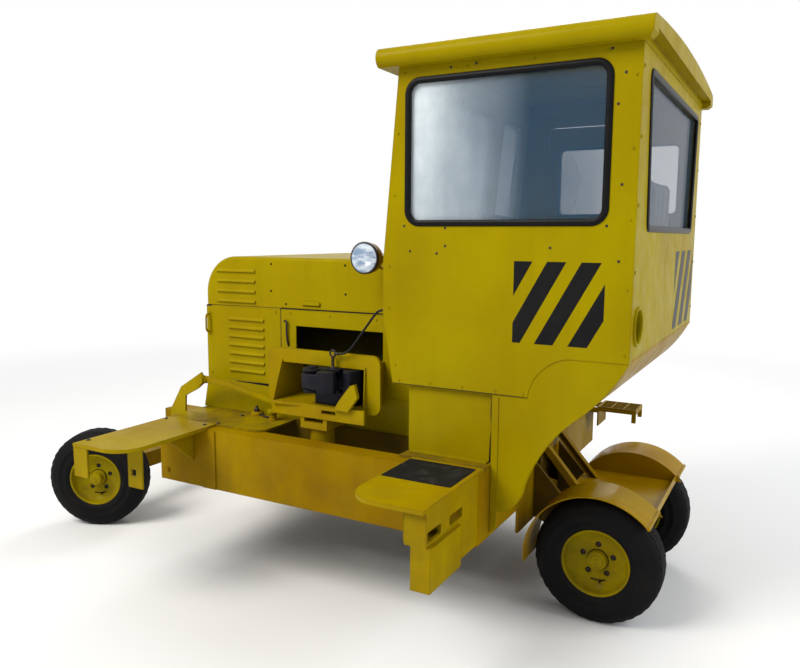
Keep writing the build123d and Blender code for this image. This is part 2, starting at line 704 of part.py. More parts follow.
def hood_side_panel():
    """Near lower side panel with its louvers."""
    panel = block(HOOD_LEFT, SIDE_PANEL_RIGHT, -HOOD_HALF, -HOOD_HALF + HOOD_T, HOOD_BASE, HOOD_SEAM)
    for ridge in louvers(-665, -443, [1197 - 43 * i for i in range(7)]):
        panel += ridge
    return panel


def hood_end_panel():
    """Panel that closes the hood's free end, with the radiator grille."""
    inner = HOOD_HALF - HOOD_T
    x0, x1 = HOOD_LEFT, HOOD_LEFT + HOOD_T
    panel = block(x0, x1, -inner, inner, HOOD_BASE, HOOD_SEAM)
    panel -= block(x0, x1, -GRILLE_HALF, GRILLE_HALF, GRILLE_LOW, GRILLE_TOP)
    pitch = (GRILLE_TOP - GRILLE_LOW) / GRILLE_BARS
    for index in range(GRILLE_BARS):
        z = GRILLE_LOW + pitch * (index + 0.5) - GRILLE_BAR / 2
        panel += block(x0, x1, -GRILLE_HALF, GRILLE_HALF, z, z + GRILLE_BAR)
    return panel


def front_line_x(z):
    """X of the cab's front edge at a height below its lower kink."""
    share = (z - CAB_LOW) / (CAB_KINK_LOW - CAB_LOW)
    return CAB_FRONT_LOW + share * (CAB_FRONT_MID - CAB_FRONT_LOW)


def bay_frame():
    """Near post, lip and jamb round the open engine bay."""
    face = outline([
        (SIDE_PANEL_RIGHT, HOOD_BASE), (LOWER_PANEL_LEFT, HOOD_BASE), (LOWER_PANEL_LEFT, CAB_LOW),
        (CAB_FRONT_LOW, CAB_LOW), (front_line_x(HOOD_SEAM), HOOD_SEAM), (SIDE_PANEL_RIGHT, HOOD_SEAM)])
    hole = outline([(OPENING_LEFT, OPENING_LOW), (OPENING_RIGHT, OPENING_LOW),
                    (OPENING_RIGHT, OPENING_TOP), (OPENING_LEFT, OPENING_TOP)])
    return sheet_xz(face - hole, -HOOD_HALF, -HOOD_HALF + HOOD_T)


def hood_skirt():
    """Skirt under both sides and the free end of the hood, standing on the deck."""
    foot = HOOD_LEFT - SKIRT_FLARE
    face = outline([(foot, DECK_TOP), (HOOD_LEFT, HOOD_BASE), (LOWER_PANEL_LEFT, HOOD_BASE),
                    (LOWER_PANEL_LEFT, DECK_TOP)])
    side = sheet_xz(face, -HOOD_HALF, -HOOD_HALF + HOOD_T)
    end = outline([(foot, DECK_TOP), (HOOD_LEFT, HOOD_BASE), (HOOD_LEFT + HOOD_T, HOOD_BASE),
                   (foot + HOOD_T, DECK_TOP)])
    return side + far(side) + sheet_xz(end, -HOOD_HALF + HOOD_T, HOOD_HALF - HOOD_T)


def engine():
    """Engine, as one plain block with a sloping shoulder, on the inner frame plates."""
    face = outline([(-420, FRAME_TOP), (420, FRAME_TOP), (420, 1120), (-180, 1120), (-420, 960)])
    return sheet_yz(face, -INNER_RAIL_X - 40, CAB_FRONT_MID - 13)


# Couplers

def coupler_housing():
    """Near coupler housing: arch plate with an open box on its face, its cheeks leaning back."""
    back = -HOOD_HALF
    plate = outline([(ARCH_LEFT, ARCH_LOW), (ARCH_RIGHT, ARCH_LOW), (ARCH_RIGHT, ARCH_TOP), (ARCH_LEFT, ARCH_TOP)])
    housing = sheet_xz(fillet(plate.vertices(), ARCH_CORNER), -ARCH_Y, -ARCH_Y + ARCH_T)
    floor = outline([(BOX_LEFT, back), (BOX_LEFT, -BOX_LEFT_Y), (120, -745), (BOX_RIGHT, -BOX_RIGHT_Y),
                     (BOX_RIGHT, back)])
    housing += sheet_xy(floor, BOX_FLOOR - BOX_T, BOX_FLOOR)
    housing += block(BOX_LEFT - 12, BOX_RIGHT + 27, -BOX_Y, -BOX_Y + BOX_T, APRON_LOW, BOX_FLOOR)
    for x, front in ((BOX_LEFT, BOX_LEFT_Y - 3), (BOX_RIGHT - CHEEK_T, BOX_RIGHT_Y)):
        cheek = outline([(-front, BOX_FLOOR), (back, BOX_FLOOR), (back, BOX_TOP + BOX_T),
                         (-ARCH_Y, BOX_TOP + BOX_T), (-ARCH_Y - 6, BOX_TOP + 8)])
        housing += sheet_yz(cheek, x, x + CHEEK_T)
    housing += block(BOX_LEFT, BOX_RIGHT, -ARCH_Y, back, BOX_TOP, BOX_TOP + BOX_T)
    guard = outline([(120, BOX_FLOOR - 8), (148, 905), (205, 975), (226, 982), (240, 925), (192, BOX_FLOOR - 8)])
    housing += sheet_xz(guard, -BOX_Y - 18, -BOX_Y)
    housing -= block(45, 118, -BOX_Y - 1, -BOX_Y + BOX_T + 1, 832, 848)
    return housing - block(BOX_LEFT + CHEEK_T, BOX_RIGHT - CHEEK_T, -ARCH_Y - 1, back, BOX_FLOOR, BOX_TOP)


def coupler_head():
    """Near coupler head casting with its knuckle pin, ears and lock lifter."""
    base = outline([(-28, -HOOD_HALF), (-28, -700), (-4, -738), (100, -738), (188, -700), (196, -HOOD_HALF)])
    head = sheet_xy(fillet([v for v in base.vertices() if v.Y < -600], 22), BOX_FLOOR, EAR_LOW)
    body = outline([(-62, -HOOD_HALF), (-70, -640), (-52, -698), (124, -698), (150, -752), (186, -758),
                    (206, -700), (206, -HOOD_HALF)])
    head += sheet_xy(fillet([v for v in body.vertices() if v.Y < -600], 16), EAR_LOW, HEAD_TOP)
    ear = outline([(PIN_X - EAR_R, -690), (PIN_X - EAR_R, -PIN_Y), (PIN_X + EAR_R, -PIN_Y - 4), (118, -732), (118, -690)])
    for z0 in (EAR_LOW, HEAD_TOP - EAR_T):
        head += rod_z(z0, z0 + EAR_T, PIN_X, -PIN_Y, EAR_R)
        head += sheet_xy(ear, z0, z0 + EAR_T)
    head += rod_z(EAR_LOW, HEAD_TOP, PIN_X, -PIN_Y, PIN_R)
    head += rod_z(HEAD_TOP, LIFTER_TOP, LIFTER_X, LIFTER_Y, 7)
    eye_z = LIFTER_TOP + EYE_R
    ring = RegularPolygon(EYE_R + 4.5, 10) - RegularPolygon(EYE_R - 4.5, 10)
    head += sheet_xz(Pos(LIFTER_X, eye_z) * ring, LIFTER_Y - 4.5, LIFTER_Y + 4.5)
    return head + rod_x(LIFTER_X + EYE_R, LIFTER_X + EYE_R + CLAMP_LONG, LIFTER_Y, eye_z, 7)


def coupler_knuckle():
    """Near knuckle: a rounded jaw that swings outwards on the vertical pin."""
    low, high = EAR_LOW + EAR_T + KNUCKLE_GAP, HEAD_TOP - EAR_T - KNUCKLE_GAP
    jaw = outline([(-44, -718), (-50, -752), (-34, -794), (20, -810), (96, -814), (134, -796), (132, -768),
                   (60, -756), (44, -718)])
    jaw = fillet(jaw.vertices(), 9)
    solid = sheet_xy(jaw, low, high) + rod_z(low, high, PIN_X, -PIN_Y, EAR_R)
    solid = chamfer(solid.edges().group_by(Axis.Z)[-1] + solid.edges().group_by(Axis.Z)[0], 5)
    return solid - rod_z(low, high, PIN_X, -PIN_Y, PIN_R + SHAFT_GAP)


def jack():
    """Near coupler jack: an upright cylinder that bears on the arch plate."""
    foot_top = FRAME_LOW + FLANGE_T
    unit = block(-JACK_FOOT, JACK_FOOT, -BEAM_Y + BEAM_FLANGE, -600, FRAME_LOW, foot_top)
    unit += rod_z(foot_top, JACK_CAP_LOW, 0, JACK_Y, JACK_R)
    y0, y1 = JACK_Y - JACK_CAP, JACK_Y + JACK_CAP
    unit += block(-JACK_CAP, JACK_CAP, y0, y1, JACK_CAP_LOW, JACK_CAP_TOP)
    unit += block(-JACK_CAP, -JACK_CAP + 20, y0, y1, JACK_CAP_TOP, JACK_EAR_TOP)
    unit += block(JACK_CAP - 20, JACK_CAP, y0, y1, JACK_CAP_TOP, JACK_EAR_TOP)
    return unit + rod_z(JACK_CAP_TOP, ARCH_LOW, 0, JACK_Y, RAM_R)


# Cab

def cab_side_face():
    """Outline of a cab side in X and Z."""
    return make_face([
        Polyline((CAB_END, CAB_EAVE), (CAB_FRONT_TOP, CAB_EAVE), (CAB_FRONT_MID, CAB_KINK_TOP),
                 (CAB_FRONT_MID, CAB_KINK_LOW), (CAB_FRONT_LOW, CAB_LOW), SHOULDER[0]),
        ThreePointArc(*SHOULDER),
        Polyline(SHOULDER[2], (CAB_END, CAB_SHOULDER), (CAB_END, CAB_EAVE))])


def doorway():
    """Block that cuts the doorway through the far side."""
    return sheet_xz(rounded(*DOOR, DOOR_CORNER, -DOOR_GAP), CAB_HALF - CAB_WALL, CAB_HALF)


def cab_near_side():
    """Near side of the cab with its window opening."""
    face = cab_side_face() - rounded(*WINDOW_SIDE, WINDOW_CORNER)
    return sheet_xz(face, -CAB_HALF, -CAB_HALF + CAB_WALL)


def cab_far_side():
    """Far side of the cab with its doorway and a small window."""
    face = cab_side_face() - rounded(*WINDOW_FAR, WINDOW_SMALL_CORNER)
    wall = sheet_xz(face, CAB_HALF - CAB_WALL, CAB_HALF) - doorway()
    for z in HINGE_LOW:
        low, top = z - HINGE_LUG - 4, z - 4
        wall += rod_z(low, top, HINGE_X, HINGE_Y, HINGE_R)
        wall += block(HINGE_X, HINGE_X + 50, CAB_HALF, CAB_HALF + 8, low, top)
        wall += rod_z(low, z + HINGE_LONG, HINGE_X, HINGE_Y, HINGE_PIN_R)
    return wall


def cab_door():
    """Far-side door leaf with its window opening, handle and hinge barrels."""
    face = rounded(*DOOR, DOOR_CORNER) - rounded(*WINDOW_DOOR, WINDOW_SMALL_CORNER)
    leaf = sheet_xz(face, CAB_HALF - CAB_WALL, CAB_HALF)
    leaf += block(DOOR[0] + 30, DOOR[0] + 130, CAB_HALF, CAB_HALF + 24, 1490, 1512)
    for z in HINGE_LOW:
        leaf += rod_z(z, z + HINGE_LONG, HINGE_X, HINGE_Y, HINGE_R)
        leaf += block(HINGE_X - 50, HINGE_X, CAB_HALF, CAB_HALF + 8, z, z + HINGE_LONG)
        leaf -= rod_z(z, z + HINGE_LONG, HINGE_X, HINGE_Y, HINGE_PIN_R + SHAFT_GAP)
    return leaf


def end_window(inset):
    """Window face of the cab's end, wider at its top, in Y and Z."""
    low, top = WINDOW_END_Z
    wide, narrow = WINDOW_END_TOP - inset, WINDOW_END_LOW - inset
    face = outline([(-narrow, low + inset), (narrow, low + inset), (wide, top - inset), (-wide, top - inset)])
    return fillet(face.vertices(), 30)


def cab_end_wall():
    """End wall of the cab, with its window and round port."""
    inner = CAB_HALF - CAB_WALL
    x0 = CAB_END - CAB_WALL
    wall = block(x0, CAB_END, -inner, inner, CAB_SHOULDER + FLOOR_T, CAB_EAVE)
    wall -= sheet_yz(end_window(0), x0, CAB_END)
    return wall - rod_x(x0, CAB_END, PORT_Y, PORT_Z, PORT_R)


def front_band(depth, reach):
    """Band in X and Z that follows the cab's front edge, from depth to depth plus reach."""
    line = [(CAB_FRONT_TOP, CAB_EAVE), (CAB_FRONT_MID, CAB_KINK_TOP), (CAB_FRONT_MID, CAB_KINK_LOW),
            (CAB_FRONT_LOW, CAB_LOW)]
    outer = [(x + depth, z) for x, z in line]
    inner = [(x + depth + reach, z) for x, z in reversed(line)]
    return outline(outer + inner)


def cab_front_wall():
    """Wall of the cab over the hood, following the side's slopes, with two windows."""
    inner = CAB_HALF - CAB_WALL
    wall = sheet_xz(front_band(0, CAB_WALL), -inner, inner)
    for y0, y1 in SHIELD:
        hole = rounded(y0, y1, *SHIELD_Z, WINDOW_CORNER)
        wall -= sheet_yz(hole, CAB_FRONT_MID - 1, CAB_FRONT_TOP + 2 * CAB_WALL)
    return wall


def cab_glass():
    """Panes of every fixed window, each in the middle of its wall."""
    depth = (CAB_WALL - GLASS_T) / 2
    panes = [sheet_xz(rounded(*WINDOW_SIDE, WINDOW_CORNER, FIT_GAP), -CAB_HALF + depth, -CAB_HALF + depth + GLASS_T)]
    far_face = rounded(*WINDOW_FAR, WINDOW_SMALL_CORNER, FIT_GAP)
    panes.append(sheet_xz(far_face, CAB_HALF - depth - GLASS_T, CAB_HALF - depth))
    panes.append(sheet_yz(end_window(FIT_GAP), CAB_END - depth - GLASS_T, CAB_END - depth))
    band = sheet_xz(front_band(depth, GLASS_T), -CAB_HALF, CAB_HALF)
    for y0, y1 in SHIELD:
        hole = rounded(y0, y1, *SHIELD_Z, WINDOW_CORNER, FIT_GAP)
        panes.append(band & sheet_yz(hole, CAB_FRONT_MID - 1, CAB_FRONT_TOP + 2 * CAB_WALL))
    return gather(*panes)


def door_glass():
    """Pane of the door's window."""
    depth = (CAB_WALL - GLASS_T) / 2
    face = rounded(*WINDOW_DOOR, WINDOW_SMALL_CORNER, FIT_GAP)
    return sheet_xz(face, CAB_HALF - depth - GLASS_T, CAB_HALF - depth)


def cab_roof():
    """Roof with rolled eaves along both sides and a low crown."""
    x0, x1 = CAB_FRONT_TOP - ROOF_FRONT, CAB_END + ROOF_BACK
    side = CAB_HALF + ROOF_SIDE
    top = CAB_EAVE + ROOF_RISE
    bulge = (side + ROOF_BULGE, CAB_EAVE + ROOF_RISE / 2)
    section = make_face([
        Line((-side, CAB_EAVE), (side, CAB_EAVE)),
        ThreePointArc((side, CAB_EAVE), bulge, (side - 6, top)),
        ThreePointArc((side - 6, top), (0, top + ROOF_CROWN), (-side + 6, top)),
        ThreePointArc((-side + 6, top), (-bulge[0], bulge[1]), (-side, CAB_EAVE))])
    roof = sheet_yz(section, x0, x1)
    roof -= block(CAB_END + 2, x1, -CAB_HALF + 10, CAB_HALF - 10, CAB_EAVE, CAB_EAVE + ROOF_END_RISE)
    corner = outline([(x1 - 16, CAB_EAVE), (x1, CAB_EAVE), (x1, CAB_EAVE + 16)])
    roof -= sheet_xz(corner, -side - ROOF_BULGE, side + ROOF_BULGE)
    inner = CAB_HALF - CAB_WALL - 4
    return roof - block(CAB_FRONT_TOP + CAB_WALL + 4, CAB_END - CAB_WALL - 4, -inner, inner,
                        CAB_EAVE, CAB_EAVE + ROOF_RISE - 12)


def cab_arch_panel():
    """Near wheel-arch panel, from the post to the cab's end."""
    face = make_face([
        Polyline(SHOULDER[0], (LOWER_PANEL_RIGHT, CAB_LOW), (LOWER_PANEL_RIGHT, ARCH_FOOT[0][1]), ARCH_FOOT[0]),
        ThreePointArc(*ARCH_FOOT), ThreePointArc(*ARCH_RISE), ThreePointArc(*ARCH_HEEL),
        Line(ARCH_HEEL[2], SHOULDER[2]), ThreePointArc(*reversed(SHOULDER))])
    return sheet_xz(face, -CAB_HALF + 2, -CAB_HALF + CAB_WALL)


def cab_lower_panel():
    """Near panel between the cab's side and the deck, with its return to the hood."""
    panel = block(LOWER_PANEL_LEFT, LOWER_PANEL_RIGHT, -LOWER_PANEL_Y, -LOWER_PANEL_Y + PANEL_T, DECK_TOP, CAB_LOW)
    x1 = LOWER_PANEL_LEFT + PANEL_T
    return panel + block(LOWER_PANEL_LEFT, x1, -LOWER_PANEL_Y, -HOOD_HALF, DECK_TOP, CAB_LOW)


def cab_floor():
    """Cab floor, and the sheet that closes the cab over the wheel arch."""
    inner = CAB_HALF - CAB_WALL
    top = CAB_LOW + FLOOR_T
    left = CAB_FRONT_LOW + CAB_WALL
    face = make_face([
        Polyline(FLOOR_CURVE_TOP[0], (left, top), (left, CAB_LOW), FLOOR_CURVE[0]),
        ThreePointArc(*FLOOR_CURVE),
        Polyline(FLOOR_CURVE[2], (CAB_END, CAB_SHOULDER + FLOOR_T), FLOOR_CURVE_TOP[2]),
        ThreePointArc(*reversed(FLOOR_CURVE_TOP))])
    return sheet_xz(face, -inner, inner)


# Cab fittings

def seat():
    """Driver's seat: cushion and back."""
    top, end = SEAT_Z + SEAT_PAD, SEAT_X + SEAT_LONG
    cushion = block(SEAT_X, end, -SEAT_HALF, SEAT_HALF, SEAT_Z, top)
    return cushion + block(end - SEAT_PAD, end, -SEAT_HALF, SEAT_HALF, top, SEAT_Z + SEAT_BACK)


def seat_base():
    """Pedestal under the seat, on the cab floor."""
    return block(SEAT_X + 30, SEAT_X + 230, -160, 160, CAB_LOW + FLOOR_T, SEAT_Z)


def at_column(shape):
    """Place a piece drawn along Z on the leaning steering column."""
    return Pos(COLUMN_X, COLUMN_Y, CAB_LOW + FLOOR_T) * Rot(0, COLUMN_LEAN, 0) * shape


def control_stand():
    """Steering column with its foot on the cab floor."""
    floor = CAB_LOW + FLOOR_T
    x0, x1, y0, y1 = COLUMN_X - 80, COLUMN_X + 80, COLUMN_Y - 110, COLUMN_Y + 110
    column = at_column(Pos(0, 0, COLUMN_LONG / 2) * Cylinder(COLUMN_R, COLUMN_LONG))
    column += at_column(Pos(0, 0, COLUMN_LONG + COLUMN_PIN / 2) * Cylinder(COLUMN_PIN_R, COLUMN_PIN))
    return column + block(x0, x1, y0, y1, floor, floor + 240) - block(x0, x1, y0, y1, floor - 60, floor)


def steering_wheel():
    """Steering wheel: ring, three spokes and a hub over the column's end."""
    middle = COLUMN_LONG + 19
    turns = [radians(22.5 + 45 * index) for index in range(8)]
    bead = [(WHEEL_RING_R + WHEEL_RING_T * cos(a), middle + WHEEL_RING_T * sin(a)) for a in turns]
    wheel = faceted(bead, WHEEL_SIDES) + Pos(0, 0, middle) * Cylinder(30, 28)
    for index in range(3):
        spoke = Pos(WHEEL_RING_R / 2, 0, middle) * Box(WHEEL_RING_R, 22, 10)
        wheel += Rot(0, 0, 90 + index * 120) * spoke
    wheel -= Pos(0, 0, middle) * Cylinder(COLUMN_PIN_R + SHAFT_GAP, COLUMN_PIN)
    return at_column(wheel)


# Outside fittings

def grated_step():
    """Far-side step under the cab door: a grating on a hanger plate and two arms from the frame's end."""
    x0, x1, z = STEP_FAR
    y0, y1 = STEP_FAR_Y, STEP_FAR_Y + STEP_FAR_LONG
    frame = block(x0, x1, y0, y1, z, z + 26) - block(x0 + 6, x1 - 6, y0 + 6, y1 - 6, z, z + 26)
    pitch = (STEP_FAR_LONG - 12) / STEP_FAR_BARS
    for index in range(STEP_FAR_BARS):
        y = y0 + 6 + pitch * (index + 0.5)
        frame += block(x0, x1, y - 1.5, y + 1.5, z + 8, z + 26)
    for x in (x0 + 66, x0 + 132):
        frame += block(x - 3, x + 3, y0, y1, z + 12, z + 26)
    frame += block(x0 - 8, x0, y0, y1, z - 84, z + 26)
    for y in (y0, y1 - 12):
        frame += block(x1 - 22, x1, y, y + 12, z - 46, z)
    for y in (y0, BEAM_Y - 24):
        frame += block(FRAME_X, x0 - 8, y, y + 24, z - 10, z + 16)
    return frame


def headlamp():
    """Round headlamp facing along the rails, on a bracket from the cab's edge."""
    body = rod_y(-LAMP_FACE, -LAMP_FACE + LAMP_LONG, LAMP_X, LAMP_Z, LAMP_R)
    low = LAMP_Z - 0.6 * LAMP_R
    return body + block(LAMP_X, CAB_FRONT_MID, -LAMP_FACE + 30, -LAMP_FACE + 42, low, low + 20)


def lever_stand():
    """Bracket on the frame's end with a boss, and the flat bar from it down to the jack's cap."""
    plate = outline([
        (-FRAME_X, 640), (-985, 640), (-979, 710), (-903, 834), (-764, 920), (-735, 878), (-787, 836),
        (-873, 791), (-877, DECK_TOP - 12), (-FRAME_X, DECK_TOP - 12)])
    bar = outline([(-790, 905), (-601, 890), (-300, 829), (-JACK_CAP, 782), (-JACK_CAP, 756), (-305, 802),
                   (-602, 862), (-790, 868)])
    x, z = LEVER_BOSS
    stand = sheet_xz(plate, LEVER_Y - LEVER_T, LEVER_Y) + sheet_xz(bar, LEVER_Y, LEVER_Y + LEVER_T)
    return stand + rod_y(LEVER_Y - 22, LEVER_Y + LEVER_T, x, z, 20)


def cable():
    """Slack uncoupling cable between the lock lifter and the cab's front edge."""
    radii = []
    for a, b, c in zip(CABLE_POINTS, CABLE_POINTS[1:], CABLE_POINTS[2:]):
        before, after = Vector(*b) - Vector(*a), Vector(*c) - Vector(*b)
        turn = radians(before.get_angle(after))
        radii.append(0.45 * min(before.length, after.length) / tan(turn / 2))
    path = FilletPolyline(*CABLE_POINTS, radius=radii)
    print("cable radii", [round(r) for r in radii], "length", round(path.length))
    start = Plane(origin=path @ 0, z_dir=path % 0)
    return sweep(start * RegularPolygon(CABLE_R, 8), path=path)


def main():
    """Build every piece and write one file each."""
    os.makedirs("parts", exist_ok=True)
    inner_rails = gather(inner_rail(-INNER_RAIL_X), inner_rail(INNER_RAIL_X))
    boxes = [axle_box(x, y) for x in (-INNER_RAIL_X, INNER_RAIL_X) for y in (-RAIL_BASE, RAIL_BASE)]
    tyre = tyre_solid()
    rim = rim_solid()
    nodes = {
        "beam_near": coupler_beam(),
        "beam_far": far(coupler_beam()),
        "frame_ends": gather(end_plate(-FRAME_X), cab_end_plate()),
        "axle_pivot": pivot_box(),
        "cross_webs": both(cross_web()),
        "inner_rails": inner_rails,
        "rail_axle_boxes": gather(*boxes),
        "rail_axle_near": rail_axle(-RAIL_BASE),
        "rail_axle_far": rail_axle(RAIL_BASE),
        "steps_near": gather(cab_step(), hood_step()),
        "steps_far": gather(far_cab_step(), far(hood_step())),
        "deck_plates": both(deck_plates()),
        "drive_axle": drive_axle(),
        "fenders": fenders(),
        "fender_braces": braces(),
        "steering_axle": steering_axle(),
        "knuckle_near": knuckle(-1),
        "knuckle_far": knuckle(1),
        "tyre_cab_near": at_drive(tyre, -1),
        "tyre_cab_far": at_drive(tyre, 1),
        "rim_cab_near": at_drive(rim, -1),
        "rim_cab_far": at_drive(rim, 1),
        "tyre_hood_near": at_steered(tyre, -1),
        "tyre_hood_far": at_steered(tyre, 1),
        "rim_hood_near": at_steered(rim, -1),
        "rim_hood_far": at_steered(rim, 1),
        "hood_cover": hood_cover(),
        "hood_side_panels": both(hood_side_panel()),
        "hood_end_panel": hood_end_panel(),
        "bay_frames": both(bay_frame()),
        "hood_skirt": hood_skirt(),
        "engine_block": engine(),
        "coupler_housings": both(coupler_housing()),
        "coupler_heads": gather(coupler_head(), turned(coupler_head())),
        "coupler_knuckle_near": coupler_knuckle(),
        "coupler_knuckle_far": turned(coupler_knuckle()),
        "coupler_jacks": both(jack()),
        "cab_near_side": cab_near_side(),
        "cab_far_side": cab_far_side(),
        "cab_door": cab_door(),
        "cab_end_wall": cab_end_wall(),
        "cab_front_wall": cab_front_wall(),
        "cab_roof": cab_roof(),
        "cab_floor": cab_floor(),
        "cab_lower_panels": both(cab_lower_panel()),
        "cab_arch_panel": cab_arch_panel(),
        "cab_glass": cab_glass(),
        "door_glass": door_glass(),
        "seat": seat(),
        "seat_base": seat_base(),
        "control_stand": control_stand(),
        "steering_wheel": steering_wheel(),
        "headlamp": headlamp(),
        "far_step": grated_step(),
        "lever_stand": lever_stand(),
        "uncoupling_cable": cable(),
    }
    limits = gather(*nodes.values()).bounding_box()
    shift = -(limits.min.X + limits.max.X) / 2
    print("limits", limits.min, limits.max, "shift", shift)
    for name, shape in nodes.items():
        export_step(Pos(shift, 0, 0) * shape, f"parts/{name}.step")


main()
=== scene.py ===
"""Looks of a road-rail shunting vehicle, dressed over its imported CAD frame.

Places and sizes are in the drawing's own millimetres, with the couplers on the plane x = 0, and
at() turns a place into scene metres. The materials, the seat's cloth and the studio are in metres.
"""
from __future__ import annotations

import json
import logging
import math
from dataclasses import dataclass
from enum import Enum
from typing import Callable, Iterable, Sequence

import bmesh
import bpy
from mathutils import Matrix, Vector

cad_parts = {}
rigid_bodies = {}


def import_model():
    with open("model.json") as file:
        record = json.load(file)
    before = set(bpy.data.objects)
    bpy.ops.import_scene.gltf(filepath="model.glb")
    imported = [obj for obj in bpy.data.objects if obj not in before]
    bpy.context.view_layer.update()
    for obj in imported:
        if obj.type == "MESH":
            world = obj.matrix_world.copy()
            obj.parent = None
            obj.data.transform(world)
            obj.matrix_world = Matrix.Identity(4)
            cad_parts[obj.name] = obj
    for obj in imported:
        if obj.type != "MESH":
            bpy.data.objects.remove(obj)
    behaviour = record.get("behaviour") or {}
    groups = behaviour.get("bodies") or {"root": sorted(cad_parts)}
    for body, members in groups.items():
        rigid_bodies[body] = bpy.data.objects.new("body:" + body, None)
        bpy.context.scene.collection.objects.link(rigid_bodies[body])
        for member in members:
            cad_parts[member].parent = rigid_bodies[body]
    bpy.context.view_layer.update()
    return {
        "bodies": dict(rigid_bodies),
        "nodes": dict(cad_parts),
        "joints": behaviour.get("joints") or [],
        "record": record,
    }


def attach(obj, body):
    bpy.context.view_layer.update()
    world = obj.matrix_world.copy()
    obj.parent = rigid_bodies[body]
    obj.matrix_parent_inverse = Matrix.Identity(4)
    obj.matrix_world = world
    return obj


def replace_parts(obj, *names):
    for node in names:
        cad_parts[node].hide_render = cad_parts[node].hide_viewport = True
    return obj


log = logging.getLogger("shunter")

Triple = tuple[float, float, float]
RGB = Triple
Spot = tuple[float, float]
Outline = Sequence[Spot]
Plane = Callable[[float, float, float], Vector]
Piece = bpy.types.Object
Finish = bpy.types.Material
Socket = bpy.types.NodeSocket

# Planes of the drawing, in millimetres
SHIFT = 215.670459
CAB_SIDE = 744
CAB_END = 1336
HOOD_SIDE = 540
BEAM_FACE = 864
JACK_BOLTS = 746
DECK_TOP = 722
AXLE_HIGH = 265
KINGPIN_TO_WHEEL = 100

UP = Vector((0, 0, 1))
TO_CAB_END = Vector((1, 0, 0))
PARKED_STEER = math.radians(26)
SHARP_FROM = math.radians(38)
BEVEL_FROM = math.radians(40)


def at(x: float, y: float, z: float) -> Vector:
    """Scene point of a drawing point in millimetres."""
    return Vector(((x + SHIFT) / 1000, y / 1000, z / 1000))


class Side(Enum):
    """The two long sides of the vehicle, by the sign of y."""

    NEAR = -1
    FAR = 1

    @property
    def tag(self) -> str:
        """Word for the side in the names of pieces."""
        return self.name.lower()

    @property
    def normal(self) -> Vector:
        """Outward direction."""
        return Vector((0, self.value, 0))

    def plane(self, y: float) -> Plane:
        """Maps (x, z, lift) onto a plane y from the middle, lifted outwards."""
        return lambda x, z, lift: at(x, self.value * (y + lift), z)


def end_plane(x: float) -> Plane:
    """Maps (y, z, lift) onto a plane of constant x, lifted towards +X."""
    return lambda y, z, lift: at(x + lift, y, z)


def level_plane(z: float) -> Plane:
    """Maps (x, y, lift) onto a level plane, lifted upwards."""
    return lambda x, y, lift: at(x, y, z + lift)


# Materials

GRIME = (0.060, 0.040, 0.014)
SEEPING = (0.085, 0.042, 0.008)
DARK_RUST = (0.10, 0.035, 0.012)
PALE_RUST = (0.22, 0.085, 0.02)
LEAST_BLUE = 0.0003


def backdrop_rays(tree: bpy.types.NodeTree) -> Socket:
    """Value of 1 on the rays that show the surround: seen, mirrored or passed through glass."""
    path = tree.nodes.new("ShaderNodeLightPath")
    total = path.outputs["Is Camera Ray"]
    for name in ("Is Glossy Ray", "Is Transmission Ray"):
        both = tree.nodes.new("ShaderNodeMath")
        both.operation = "MAXIMUM"
        tree.links.new(total, both.inputs[0])
        tree.links.new(path.outputs[name], both.inputs[1])
        total = both.outputs[0]
    return total


